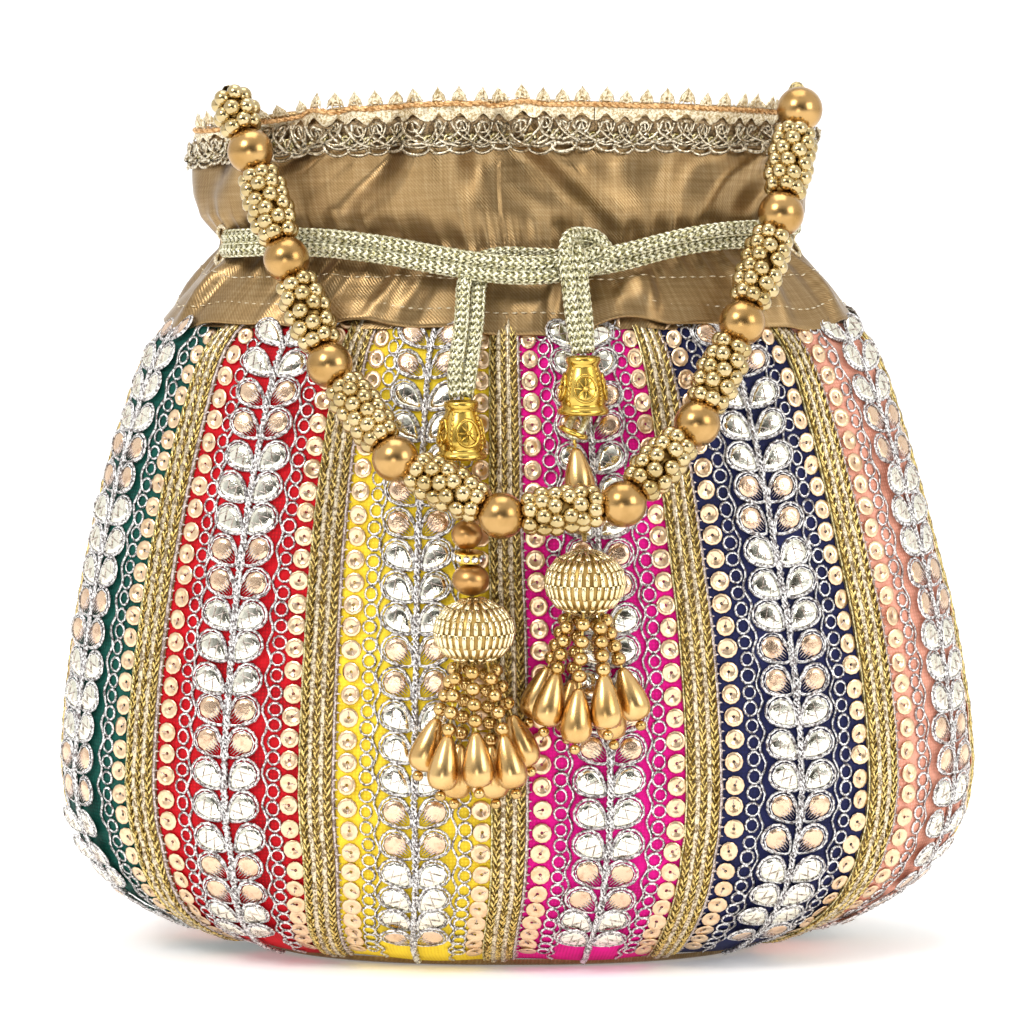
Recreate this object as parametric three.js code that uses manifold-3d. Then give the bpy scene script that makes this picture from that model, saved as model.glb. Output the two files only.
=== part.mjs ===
// Potli bag: striped embroidered body on an oval base, satin collar with a lace rim, a doubled
// drawcord tied at the front with two bead tassels, and a handle of big and small beads.
// Millimetres, +Z up, front towards -Y, origin at the middle of the flat base.
import * as THREE from "three";
import { mergeVertices } from "three/addons/utils/BufferGeometryUtils.js";
import Module from "manifold-3d";

const wasm = await Module();
wasm.setup();

// Driving dimensions
const SQUARE = 2.25; // superellipse power of the plan outline of the bag
const CLOTH = 1.6; // quilted wall of the embroidered body
const LINING = 0.8;
const SATIN = 1.2; // collar, two layers
const GAP = 0.3; // between touching pieces
const SEAM_Z = 172; // body to collar seam
const RIM_Z = 228.5; // top of the collar at the front
const LACE_H = 15; // lace band below the rim
const PICOT = 3.5; // lace above the rim
const BALL_R = 6; // big handle beads
const ROPE_R = 6.2; // woven cluster of small beads
const CORD_R = 4.2; // the two strands of the drawcord side by side
const CAP_R = 6.6;
const CAP_H = 15;
const BUGLE_R = 10.4; // ball of bugle beads
const BUGLE_H = 16.8;
const STRAND_RING = 5; // circle on which the strands leave the bugle ball
const DROP_R = 4;
const DROP_H = 14;
const SEED_R = 1.9; // small round beads of the tassel strands
const FLOOR = 3.5; // inside floor of the embroidered cup
const LINING_Z = 6.2; // underside of the lining
const THREAD_R = 1.5; // sewing loops that hold the handle

// Plan outline against height: z, half width, half depth, sideways offset of the middle
const BODY = [
  [1.9, 71, 37, -3], [5, 82, 42.5, -3], [9, 92, 47.5, -2.6], [14, 102, 51.5, -2],
  [20, 110.3, 55, -1], [28, 117.3, 58, -0.2], [38, 121.8, 59.8, 0.2], [50, 123.2, 60.3, 0.3],
  [65, 122, 60.2, 0.3], [80, 119.8, 59.6, 0.1], [95, 117, 58.5, -0.2], [110, 113.4, 56.8, -0.8],
  [125, 109.6, 54.6, -1.1], [140, 105.2, 52, -1.2], [155, 100.4, 48.8, -1.5], [164, 96.6, 46.6, -1.7],
  [SEAM_Z, 92.6, 44.2, -1.8],
];
const COLLAR = [
  [SEAM_Z + GAP, 91.6, 44, -1.8], [176, 88.9, 43, -1.8], [180, 85.6, 41.2, -1.8],
  [185, 81.2, 38.8, -2], [188.5, 78, 37, -2.2], [191, 77, 36.4, -2.4], [194.5, 78.6, 36.8, -3],
  [199, 80.6, 37.6, -3.8], [206, 81.6, 38.4, -4.2], [216, 82, 39.2, -4.2], [RIM_Z, 82, 40, -4.2],
];

const power = (c, e) => Math.sign(c) * Math.abs(c) ** e;

// Closed plan ring at one height, moved in by `inset`
function ring([z, a, b, shift], inset, sides) {
  const e = 2 / SQUARE;
  return Array.from({ length: sides }, (_, i) => {
    const t = (2 * Math.PI * i) / sides;
    return [shift + (a - inset) * power(Math.cos(t), e), (b - inset) * power(Math.sin(t), e), z];
  });
}

// Row of a profile table at any height
function row(table, z) {
  const i = Math.max(1, Math.min(table.length - 1, table.findIndex((r) => r[0] >= z)));
  const [p, q] = [table[i - 1], table[i]];
  const s = (z - p[0]) / (q[0] - p[0]);
  return p.map((v, k) => v + (q[k] - v) * s);
}

// Closed skin through a list of rings; `capped` fills the first and last ring, otherwise they join up
function loft(rings, capped) {
  const n = rings[0].length;
  const points = rings.flat();
  const faces = [];
  const last = capped ? rings.length - 1 : rings.length;
  for (let r = 0; r < last; r++)
    for (let i = 0; i < n; i++) {
      const [a, b] = [r * n + i, r * n + ((i + 1) % n)];
      const s = (r + 1) % rings.length;
      const [c, d] = [s * n + ((i + 1) % n), s * n + i];
      faces.push(a, b, c, a, c, d);
    }
  if (capped)
    for (const [r, flip] of [[0, true], [rings.length - 1, false]]) {
      const mid = rings[r].reduce((m, p) => m.map((v, k) => v + p[k] / n), [0, 0, 0]);
      points.push(mid);
      for (let i = 0; i < n; i++) {
        const [a, b] = [r * n + i, r * n + ((i + 1) % n)];
        faces.push(points.length - 1, flip ? b : a, flip ? a : b);
      }
    }
  const g = new THREE.BufferGeometry();
  g.setAttribute("position", new THREE.Float32BufferAttribute(points.flat(), 3));
  return g.setIndex(faces);
}

const root = new THREE.Group();
root.name = "potli_bag";

function piece(name, geometry, color, roughness, metalness) {
  const mesh = new THREE.Mesh(geometry, new THREE.MeshStandardMaterial({ color, roughness, metalness }));
  mesh.name = name;
  root.add(mesh);
  return mesh;
}
const gold = (name, geometry, tint = 0xc79a4e) => piece(name, geometry, tint, 0.3, 0.9);

// Solids joined into one closed body
function join(geometries) {
  const solids = geometries.map((g) => {
    g.deleteAttribute("normal");
    g.deleteAttribute("uv");
    const m = mergeVertices(g, 1e-4);
    return new wasm.Manifold(new wasm.Mesh({
      numProp: 3,
      vertProperties: m.getAttribute("position").array,
      triVerts: new Uint32Array(m.index.array),
    }));
  });
  const mesh = solids.reduce((a, b) => a.add(b)).getMesh();
  const g = new THREE.BufferGeometry();
  g.setAttribute("position", new THREE.BufferAttribute(mesh.vertProperties, 3));
  return g.setIndex(new THREE.BufferAttribute(mesh.triVerts, 1));
}

// ---- Body: embroidered cup, stiff base board, satin base panel under it, lining cup ----
const SIDES = 48;
const outside = BODY.map((r) => ring(r, 0, SIDES));
const atHeight = (z, inset, sides) => ring([z, ...row(BODY, z).slice(1)], inset, sides);
const inside = (low, high) => BODY.filter((r, i) => r[0] > low && r[0] < high && i % 2);
const bodyInside = [...inside(FLOOR + 1, SEAM_Z), BODY.at(-1)].map((r) => ring(r, CLOTH, SIDES)).reverse();
piece("outer_body", loft([...outside, ...bodyInside, atHeight(FLOOR, CLOTH + 2, SIDES)], true),
  0xe2101c, 0.7, 0);
const LINED = [...inside(LINING_Z + 2, SEAM_Z - 1), row(BODY, SEAM_Z - 1)];
const lined = [atHeight(LINING_Z, CLOTH + GAP + 5, 40), ...LINED.map((r) => ring(r, CLOTH + GAP, 40))];
const linedInside = LINED.map((r) => ring(r, CLOTH + GAP + LINING, 40)).reverse();
linedInside.push(atHeight(LINING_Z + LINING, CLOTH + GAP + LINING + 5, 40));
piece("lining", loft([...lined, ...linedInside], true), 0xcdb184, 0.6, 0);
const slab = (low, high, a, b) => loft([low, high].map((z) => ring([z, a, b, -2], 0, 40)), true);
piece("base_board", slab(FLOOR + GAP, LINING_Z - GAP, 62, 31), 0x8f7d62, 0.9, 0);
piece("base_panel", slab(0, BODY[0][0] - GAP, 64, 33), 0xb99c74, 0.45, 0);

// ---- Collar: satin ruffle whose rim dips at the left and the back, and the lace round its rim ----
const dip = (x, y) => {
  const t = Math.atan2(y / 40, (x + 4.2) / 82);
  const [side, back] = [Math.cos(t), Math.max(0, Math.sin(t))];
  return (side < 0 ? 8 : 3) * side ** 2 + 8 * back ** 2;
};
// Lowers a ring towards the rim so that the rim follows its dips
function dipped(points) {
  return points.map(([x, y, z]) => {
    const share = Math.max(0, (z - 191) / (RIM_Z - 191));
    return [x, y, z - dip(x, y) * share];
  });
}
const collarOut = COLLAR.map((r) => dipped(ring(r, 0, SIDES)));
const collarIn = COLLAR.map((r) => dipped(ring(r, SATIN, SIDES))).reverse();
piece("collar", loft([...collarOut, ...collarIn], false), 0xb99c74, 0.45, 0);
const laceRow = (z, out) => ring([z, ...row(COLLAR, Math.min(z, RIM_Z)).slice(1)], -out, 40)
  .map(([x, y, h]) => [x, y, h - dip(x, y) * Math.min(1, (h - 191) / (RIM_Z - 191))]);
const laceZ = [RIM_Z - LACE_H, RIM_Z - 5, RIM_Z + PICOT];
const lace = [...laceZ.map((z) => laceRow(z, 1.8)), ...laceZ.map((z) => laceRow(z, 0.6)).reverse()];
piece("lace_trim", loft(lace, false), 0xc9b27c, 0.4, 0.6);

// ---- Round tubes and turned pieces ----
const V = (p) => new THREE.Vector3(...p);
function tube(points, radius, steps, sides = 8) {
  const shape = new THREE.Shape(Array.from({ length: sides }, (_, i) => {
    const t = (2 * Math.PI * i) / sides;
    return new THREE.Vector2(radius * Math.cos(t), radius * Math.sin(t));
  }));
  const extrudePath = new THREE.CatmullRomCurve3(points.map(V), false, "centripetal");
  return new THREE.ExtrudeGeometry(shape, { steps, extrudePath, bevelEnabled: false });
}
// Lathe solid from [radius, height] points, its axis laid from `from` towards `to`
function turned(profile, from, to, sides) {
  const g = new THREE.LatheGeometry(profile.map(([r, h]) => new THREE.Vector2(r, h)), sides);
  const way = V(to).sub(V(from)).normalize();
  g.applyQuaternion(new THREE.Quaternion().setFromUnitVectors(new THREE.Vector3(0, 1, 0), way));
  return g.translate(...from);
}
const ellipsoid = (r, half, n) => Array.from({ length: n + 1 }, (_, i) => {
  const t = (Math.PI * i) / n;
  return [i === 0 || i === n ? 0 : r * Math.sin(t), -half * Math.cos(t)];
});
const ball = (centre, r, half = r, sides = 12, n = 8) =>
  turned(ellipsoid(r, half, n), centre, [centre[0], centre[1], centre[2] + 1], sides);
const between = (a, b, s) => a.map((v, k) => v + (b[k] - v) * s);
const far = (a, b) => V(a).distanceTo(V(b));

// ---- Handle: ten big beads with woven clusters of small beads between them ----
const PIVOTS = { left: [-75, -32, 231], right: [74, -20.5, 230.5] };
const BALLS = [
  [-69, -38.2, 215.4], [-59.3, -48, 187.9], [-48, -57, 161.3], [-30.9, -68, 138.2], [-4, -75, 124.4],
  [26.8, -74, 127.3], [45.8, -64, 146.8], [57.6, -54, 171.9], [68.2, -41, 199.3], [73.8, -27.2, 226],
];
BALLS.forEach((c, i) => gold("handle_ball_" + (i + 1), ball(c, BALL_R)));
function cluster(name, from, to) {
  const l = far(from, to);
  const profile = [[0, 0], [3.4, 0], [ROPE_R, 2.2], [ROPE_R, l - 2.2], [3.4, l], [0, l]];
  gold(name, turned(profile, from, to, 12), 0xd8bc82);
}
BALLS.slice(1).forEach((c, i) => {
  const p = BALLS[i];
  const s = (BALL_R + GAP) / far(p, c);
  cluster("handle_cluster_" + (i + 1), between(p, c, s), between(p, c, 1 - s));
});
const topSpan = far(PIVOTS.left, BALLS[0]);
cluster("handle_cluster_top", between(PIVOTS.left, BALLS[0], 2.2 / topSpan),
  between(PIVOTS.left, BALLS[0], 1 - (BALL_R + GAP) / topSpan));
gold("handle_loop_left", tube(
  [PIVOTS.left, [-75, -25, 230], [-75, -18.6, 227], [-74.6, -17.4, 220], [-74, -17.4, 212]],
  THREAD_R, 10, 6), 0xb08d4a);
gold("handle_loop_right", tube(
  [PIVOTS.right, [74, -15.5, 231.6], [73.2, -11, 230.5], [72, -8.6, 223], [71.6, -8, 212]],
  THREAD_R, 10, 6), 0xb08d4a);

// ---- Drawcord: a doubled cord from each side, crossed in a half knot, two tails ----
const cord = (name, points, steps) => piece(name, tube(points, CORD_R, steps, 10), 0xc9c58a, 0.5, 0.4);
cord("drawcord_left", [
  [-80.8, -16.5, 190.5], [-70.6, -27.8, 192], [-61, -32, 192.8], [-50, -36.4, 192.6], [-32, -41.4, 190.6],
  [-14, -44, 187.6], [-7, -44.8, 187],
], 13);
cord("drawcord_right", [
  [77.6, -12, 192.5], [68.5, -24.8, 193.6], [52, -35, 194], [37, -40.4, 191.8], [25, -44, 188.6],
], 11);
piece("drawcord_knot", ball([0, 0, 0], 7.4, 6.4, 14, 8).scale(2, 1, 1).translate(8.8, -45.6, 187.4),
  0xc9c58a, 0.5, 0.4);
cord("drawcord_tail_left", [
  [-9.4, -50.6, 181], [-11.6, -52.4, 176], [-13.4, -55, 167], [-14.2, -58.4, 158], [-14.3, -59.2, 153.6],
], 8);
cord("drawcord_tail_right", [
  [14.8, -51.8, 179.6], [15.6, -53.2, 175.4], [16.6, -55, 169.6], [16.9, -55.8, 164.8],
], 6);

// ---- End caps: bell with a rolled lip on top and a flange below ----
const CAP = [
  [0, 0], [CAP_R, 0], [CAP_R, 1.6], [5.8, 2.6], [5.9, 5], [5.4, 8], [4.4, 11], [4, 12.6], [4.5, 13.6], [4.4, CAP_H],
  [0, CAP_H],
];
const CAPS = { left: [-14.3, -59.6, 137.4], right: [16.9, -56.4, 148.6] };
for (const side of ["left", "right"]) {
  const [x, y, z] = CAPS[side];
  gold("cord_cap_" + side, turned(CAP, CAPS[side], [x, y, z + 1], 14), 0xd9a91f);
}

// ---- Tassels ----
// A strand: four small beads, a pearl drop and an end bead, drawn as one turned solid
function strand(name, from, to) {
  const l = far(from, to);
  const [drop, tip] = [l - DROP_H - 3.4, l - 3.4];
  const profile = [
    [0, 0], [SEED_R, 0], [SEED_R, drop], [2.5, drop + 4.5], [DROP_R, drop + 9], [3.5, drop + 12],
    [1.4, tip], [1.4, l - 0.4], [0, l],
  ];
  gold(name, turned(profile, from, to, 8), 0xe0a95a);
}
// Strands fan out below a bugle ball; `spread` holds the foot of each strand: x, y, z
function fan(side, [x, y, z], spread) {
  spread.forEach(([dx, dy, foot], i) => {
    const t = -0.78 + ((i - 3) * 2 * Math.PI) / spread.length;
    const from = [x + STRAND_RING * Math.cos(t), y + STRAND_RING * Math.sin(t), z - BUGLE_H / 2 - 0.4];
    strand("strand_" + side + "_" + (i + 1), from, [x + dx, y + dy, foot]);
  });
}
const BUGLE_LEFT = [-10.9, -70.4, 94.4];
const thread = (a, b) => turned([[0, 0], [0.7, 0], [0.7, far(a, b)], [0, far(a, b)]], a, b, 6);
gold("left_ball_upper", join([
  ball([-12.8, -64, 118.4], 4, 4, 12, 8), thread([-14.2, -60.2, 136.2], [-12.9, -63.7, 120]),
]), 0xb9853c);
gold("left_crystal_ring", turned([[0, -1.3], [3.8, -1.3], [4.4, 0], [3.8, 1.3], [0, 1.3]],
  [-12.3, -65.2, 112.9], [-12.4, -65.1, 113.9], 12), 0xe8e2d2);
gold("left_ball_lower", ball([-11.8, -66.2, 107.1], 4.7, 4, 12, 8), 0xb9853c);
gold("left_bugle_ball", ball(BUGLE_LEFT, BUGLE_R, BUGLE_H / 2, 16, 8), 0xc9b060);
fan("left", BUGLE_LEFT, [
  [-15, 0.5, 55.5], [-8.8, -7, 51.5], [1.4, -9, 52.5], [11, -6.6, 52], [15, 1.4, 56.5], [5.6, 4.6, 47.5],
  [-5.4, 4.6, 47.5],
]);

const BUGLE_RIGHT = [17.3, -68.4, 106.6];
const hook = new THREE.TorusGeometry(2.9, 0.9, 6, 14).rotateY(0.4).translate(14.4, -59, 144.2);
gold("right_jump_ring", hook, 0xe6c766);
gold("right_drop_bead", join([
  turned([[0, 0], [1.2, 0], [3.2, 4], [4, 8], [3, 11.4], [1, 13.6], [0, 13.6]],
    [16.5, -62.2, 126.6], [15, -60.9, 140], 12),
  thread([16.6, -62.4, 127.4], [17.1, -65.6, 117.6]),
]), 0xd8a44e);
gold("right_bugle_ball", ball(BUGLE_RIGHT, BUGLE_R, BUGLE_H / 2, 16, 8), 0xc9b060);
fan("right", BUGLE_RIGHT, [
  [-14.9, 2.8, 68.5], [-10.9, -6.3, 67.5], [-2.8, -9.4, 63.5], [5.8, -8.6, 67], [14.8, -1.6, 68.5], [7.8, 4.4, 62.5],
  [-4.6, 4.2, 64],
]);

export default root;
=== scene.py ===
"""Potli bag: embroidered silk body, satin collar with a metal-thread lace, zari drawcord with two
bead tassels, and a handle of big and small beads. Lengths below are millimetres until `piece` turns
them into metres."""
import math

import bpy
import numpy as np
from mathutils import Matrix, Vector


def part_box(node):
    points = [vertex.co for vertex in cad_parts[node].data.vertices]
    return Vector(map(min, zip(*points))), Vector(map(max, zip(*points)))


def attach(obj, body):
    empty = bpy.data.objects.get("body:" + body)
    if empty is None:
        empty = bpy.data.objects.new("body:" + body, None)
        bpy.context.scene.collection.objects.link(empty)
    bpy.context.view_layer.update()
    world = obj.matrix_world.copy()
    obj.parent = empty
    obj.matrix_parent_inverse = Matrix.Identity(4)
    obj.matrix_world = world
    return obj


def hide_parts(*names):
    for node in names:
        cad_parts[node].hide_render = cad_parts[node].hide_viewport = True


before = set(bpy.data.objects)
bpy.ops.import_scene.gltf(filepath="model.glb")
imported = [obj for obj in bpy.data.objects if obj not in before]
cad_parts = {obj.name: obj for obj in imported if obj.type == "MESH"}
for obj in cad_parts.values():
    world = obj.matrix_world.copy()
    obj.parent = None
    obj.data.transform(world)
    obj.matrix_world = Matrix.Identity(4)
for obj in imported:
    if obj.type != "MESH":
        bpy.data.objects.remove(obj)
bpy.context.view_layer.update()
MM = 0.001
TAU = 2 * math.pi


# ---------------------------------------------------------------- camera
EYE_ELEVATION = math.radians(6)
EYE_DISTANCE = 1150
AIM = (-1.3, 0, 117.5)


def place_camera():
    data = bpy.data.cameras.new("camera")
    data.lens, data.sensor_width = 149.7, 36
    camera = bpy.data.objects.new("camera", data)
    bpy.context.scene.collection.objects.link(camera)
    back = np.array([0, -math.cos(EYE_ELEVATION), math.sin(EYE_ELEVATION)])
    camera.location = (np.array(AIM) + EYE_DISTANCE * back) * MM
    camera.rotation_euler = (math.pi / 2 - EYE_ELEVATION, 0, 0)
    bpy.context.scene.camera = camera


place_camera()


# ---------------------------------------------------------------- finishes
def linear(hex_colour):
    """sRGB hex to linear RGBA."""
    parts = [int(hex_colour[i:i + 2], 16) / 255 for i in (1, 3, 5)]
    return [c / 12.92 if c <= 0.04045 else ((c + 0.055) / 1.055) ** 2.4 for c in parts] + [1.0]


def add(tree, kind, settings=None, **links):
    """Adds a shader node; keyword links set an input to a value or to another node's output."""
    node = tree.nodes.new("ShaderNode" + kind)
    for name, value in (settings or {}).items():
        setattr(node, name, value)
    for name, value in links.items():
        key = int(name[1:]) if name[0] == "_" and name[1:].isdigit() else name.replace("_", " ")
        socket = node.inputs[key]
        if isinstance(value, bpy.types.NodeSocket):
            tree.links.new(value, socket)
        else:
            socket.default_value = value
    return node


def finish(name, **sockets):
    """A material with a Principled shader whose constant sockets are set; returns it with its tree."""
    material = bpy.data.materials.new(name)
    material.use_nodes = True
    tree = material.node_tree
    shader = next(n for n in tree.nodes if n.type == "BSDF_PRINCIPLED")
    for key, value in sockets.items():
        shader.inputs[key.replace("_", " ")].default_value = value
    return material, tree, shader


def shades(tree, factor, *stops):
    """Colour ramp through (position, hex) stops."""
    ramp = add(tree, "ValToRGB", Fac=factor)
    elements = ramp.color_ramp.elements
    while len(elements) < len(stops):
        elements.new(0.5)
    for element, (position, colour) in zip(elements, stops):
        element.position = position
        element.color = linear(colour)
    return ramp.outputs["Color"]


def coloured(tree, shader, factor, *stops):
    """Gives the shader a base colour from (position, hex) stops."""
    tree.links.new(shades(tree, factor, *stops), shader.inputs["Base Color"])


def bumped(tree, shader, height, strength, depth):
    """Relief from a height pattern; depth is in millimetres."""
    bump = add(tree, "Bump", Strength=strength, Distance=depth * MM, Height=height)
    tree.links.new(bump.outputs["Normal"], shader.inputs["Normal"])


def woven_silk(name, ground, shadow):
    """Plain-woven art silk, power-loomed: a matt ground with a faint grain of threads.
    The real threads are 0.12 mm apart and are drawn 0.5 mm apart, the finest that still shows."""
    material, tree, shader = finish(name, Roughness=0.7, Specular_IOR_Level=0.25)
    at = add(tree, "TexCoord").outputs["UV"]
    warp = add(tree, "TexWave", {"bands_direction": "X"}, Vector=at, Scale=314.0, Distortion=0.6)
    weft = add(tree, "TexWave", {"bands_direction": "Y"}, Vector=at, Scale=314.0, Distortion=0.6)
    grain = add(tree, "Math", {"operation": "MULTIPLY"}, _0=warp.outputs["Fac"], _1=weft.outputs["Fac"])
    blotch = add(tree, "TexNoise", Vector=at, Scale=90.0, Detail=4.0)
    mixed = add(tree, "Math", {"operation": "MULTIPLY_ADD"}, _0=grain.outputs[0], _1=0.5,
                _2=blotch.outputs["Fac"])
    coloured(tree, shader, mixed.outputs[0], (0.25, shadow), (0.7, ground))
    bumped(tree, shader, grain.outputs[0], 0.35, 0.1)
    return material


def satin(name, light, middle, dark, sheen=0.3):
    """Dupion satin, woven from slubbed yarn: silky gloss, a fine twill line and a few thicker weft
    threads about 12 mm long. The real twill is 0.15 mm apart and is drawn 0.5 mm apart."""
    material, tree, shader = finish(name, Metallic=0.92, Sheen_Weight=sheen, Sheen_Roughness=0.3)
    at = add(tree, "TexCoord").outputs["UV"]
    along = add(tree, "Mapping", Vector=at, Scale=(60.0, 900.0, 1.0))
    slub = add(tree, "TexNoise", Vector=along.outputs["Vector"], Scale=1.0, Detail=4.0, Roughness=0.6)
    across = add(tree, "Mapping", Vector=at, Scale=(900.0, 50.0, 1.0))
    warp = add(tree, "TexNoise", Vector=across.outputs["Vector"], Scale=1.0, Detail=3.0)
    twill = add(tree, "TexWave", {"bands_direction": "DIAGONAL"}, Vector=at, Scale=600.0, Distortion=2.0,
                Detail=2.0)
    threads = add(tree, "Math", {"operation": "ADD"}, _0=slub.outputs["Fac"], _1=warp.outputs["Fac"])
    level = add(tree, "Math", {"operation": "MULTIPLY_ADD"}, _0=twill.outputs["Fac"], _1=0.12,
                _2=add(tree, "Math", {"operation": "MULTIPLY"}, _0=threads.outputs[0], _1=0.5).outputs[0])
    # dark to light: partly the slubbed yarn's own tone, partly painted sheen and painted shade
    coloured(tree, shader, level.outputs[0], (0.22, dark), (0.56, middle), (0.92, light))
    rough = add(tree, "MapRange", Value=slub.outputs["Fac"], To_Min=0.27, To_Max=0.4)
    tree.links.new(rough.outputs["Result"], shader.inputs["Roughness"])
    relief = add(tree, "Math", {"operation": "MULTIPLY_ADD"}, _0=threads.outputs[0], _1=0.8,
                 _2=twill.outputs["Fac"])
    bumped(tree, shader, relief.outputs[0], 0.35, 0.1)
    return material


def metal_thread(name, light, dark, roughness=0.34, pitch=1.1, metallic=0.9):
    """Metallised yarn twisted round a core: bright flecks with dark gaps between the turns.
    The real twist is 0.4 mm and is drawn `pitch` mm apart so that it still shows."""
    material, tree, shader = finish(name, Roughness=roughness, Metallic=metallic)
    at = add(tree, "TexCoord").outputs["Object"]
    fleck = add(tree, "TexNoise", Vector=at, Scale=1000.0 / pitch, Detail=2.0, Roughness=0.7)
    coloured(tree, shader, fleck.outputs["Fac"], (0.4, dark), (0.57, light))
    bumped(tree, shader, fleck.outputs["Fac"], 0.5, 0.15)
    return material


def mirror_foil(name, bright, dark, crease=0.5, gloss=0.13):
    """Gota foil pressed over a soft pad: a mirror broken by small creases."""
    material, tree, shader = finish(name, Roughness=gloss, Metallic=1.0)
    at = add(tree, "TexCoord").outputs["Object"]
    crinkle = add(tree, "TexNoise", Vector=at, Scale=430.0, Detail=4.0, Roughness=0.6)
    coloured(tree, shader, crinkle.outputs["Fac"], (0.3, dark), (0.5, bright))
    bumped(tree, shader, crinkle.outputs["Fac"], crease, 0.25)
    return material


def plated(name, colour, worn, roughness, grit=900.0, strength=0.12):
    """Metal finish laid by plating or vapour on a smooth core: even colour, soft wide highlights,
    and slightly duller patches where it is handled."""
    material, tree, shader = finish(name, Metallic=1.0)
    at = add(tree, "TexCoord").outputs["Object"]
    patch = add(tree, "TexNoise", Vector=at, Scale=160.0, Detail=4.0)
    coloured(tree, shader, patch.outputs["Fac"], (0.3, worn), (0.6, colour))
    rough = add(tree, "MapRange", Value=patch.outputs["Fac"], To_Min=roughness * 1.3,
                To_Max=roughness * 0.8)
    tree.links.new(rough.outputs["Result"], shader.inputs["Roughness"])
    pores = add(tree, "TexNoise", Vector=at, Scale=grit, Detail=2.0)
    bumped(tree, shader, pores.outputs["Fac"], strength, 0.1)
    return material


def pressed_board(name):
    """Grey pressed board, cut by a die: fibrous and quite matt."""
    material, tree, shader = finish(name, Roughness=0.92)
    at = add(tree, "TexCoord").outputs["Object"]
    fibre = add(tree, "TexNoise", Vector=at, Scale=700.0, Detail=5.0)
    coloured(tree, shader, fibre.outputs["Fac"], (0.3, "#7C6B52"), (0.7, "#A08E72"))
    bumped(tree, shader, fibre.outputs["Fac"], 0.4, 0.1)
    return material


# Art silk, piece-dyed in six colours and cut in strips: matt, deep and even
SILKS = [
    woven_silk("silk_magenta", "#E4008A", "#B4005F"),
    woven_silk("silk_navy", "#1B1F4C", "#0E1030"),
    woven_silk("silk_peach", "#EBA78F", "#CC8168"),
    woven_silk("silk_bottle_green", "#0B5347", "#052F29"),
    woven_silk("silk_red", "#C90014", "#8E000A"),
    woven_silk("silk_yellow", "#F8DA38", "#DDB61A"),
]
# Dupion satin with a metallic weft: it turns from champagne to brown with each fold. Its colour
# also holds painted sheen and painted shade in light and dark patches, beside the slubs' own tone
COLLAR_SATIN = satin("satin_champagne", "#BBA37B", "#967A52", "#735936")
# The same cloth in a paler lot, with less bloom and the same painted sheen and shade, for the inside
LINING_SATIN = satin("satin_lining", "#CDB88E", "#AD926A", "#86694A", 0.15)
# Recycled board pressed flat and die-cut: dull brown-grey fibre
BOARD = pressed_board("board_pressed")
# Silver-plated flat wire spun on a polyester core: bright, with grey gaps between its turns
SILVER_THREAD = metal_thread("thread_silver", "#FFFDFA", "#776C6A", 0.32, 0.8, 0.65)
# The same yarn spun thinner on a beige core: softer and mauve-grey
SILVER_SHADE = metal_thread("thread_silver_mauve", "#E2D4CC", "#8A766C", 0.4, 0.8, 0.6)
# Gold-lacquered wire spun on a yellow core: yellow glints on brown
GOLD_THREAD = metal_thread("thread_gold", "#F5DB8A", "#7A5C18", 0.28, 1.0, 0.75)
# Thin pale gold yarn: a greenish straw colour
PALE_GOLD_THREAD = metal_thread("thread_pale_gold", "#E9DDAE", "#8C7B3E", 0.34, 0.9)
# Rayon cord with little metal in it: soft orange-gold
ORANGE_THREAD = metal_thread("thread_orange_gold", "#E8BC84", "#A8763E", 0.42, 0.9, 0.5)
# Narrow tape woven from ivory rayon and gold film: pale, with a fine glitter
LACE_TAPE = metal_thread("tape_ivory_gold", "#EFE3C6", "#B39A6C", 0.4, 0.7, 0.55)
# Gimp cord covered in flattened wire, a little tarnished: antique cream and brown
LACE_THREAD = metal_thread("lace_thread_antique", "#EADFC6", "#8B7550", 0.3, 0.8, 0.75)
# Two plies of beige and silver yarn twisted together: pale, with a slow spiral
BRAID_PALE = metal_thread("thread_beige_gold", "#E9DABC", "#7A6443", 0.34, 0.9, 0.65)
# Knitted metallised film on a pale green-gold ground, and the duller yarn in its heart
ZARI = metal_thread("zari_pale_gold", "#F3EFD4", "#A39B66", 0.3, 0.8, 0.7)
ZARI_CORE = metal_thread("zari_core", "#8C8456", "#565030", 0.5, 0.7, 0.5)
# Cotton ground that the braid is worked on, nearly hidden: brown, darkened further as painted
# shade in the gaps between the braid's columns
BRAID_GROUND_PAINTED_SHADE = metal_thread("braid_ground_painted_shade", "#9C7F4A", "#5A4626", 0.5, 0.7, 0.5)
# Brown band behind the lace: painted shade, where the satin lies in the scrolls' shadow
LACE_PAINTED_SHADE = metal_thread("lace_painted_shade", "#A3875F", "#5E4A2E", 0.5, 0.7, 0.4)
# Polyester film, vacuum-metallised silver and pressed on a pad: a creased mirror
FOIL_SILVER = mirror_foil("gota_silver", "#F8F5E4", "#E2E0CC", 0.55, 0.11)
# The same film in rose gold, rubbed by the needle: softer and more creased
FOIL_COPPER = mirror_foil("gota_rose_gold", "#E8C8A8", "#CBA486", 0.9, 0.24)
# Plastic sequin with a pearly champagne lacquer: smooth, with a wide soft shine
SEQUIN = mirror_foil("sequin_champagne", "#EFD0AA", "#DDB48A", 0.35, 0.3)
# Acrylic beads, vacuum-plated: the small round ones bright, the big ones half matt,
# the two above the left tassel darker, the handle's paler, and the drops pearly
TASSEL_GOLD = plated("bead_bright_gold", "#D3B47A", "#BA985A", 0.19)
BALL_GOLD = plated("bead_matte_gold", "#BD9760", "#A37E48", 0.24)
ANTIQUE_GOLD = plated("bead_antique_gold", "#C79A60", "#AE8048", 0.32)
SEED_GOLD = plated("bead_champagne_gold", "#C9B486", "#A8905E", 0.17)
DROP_GOLD = plated("bead_pearl_gold", "#DBB67A", "#C59C60", 0.25)
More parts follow.
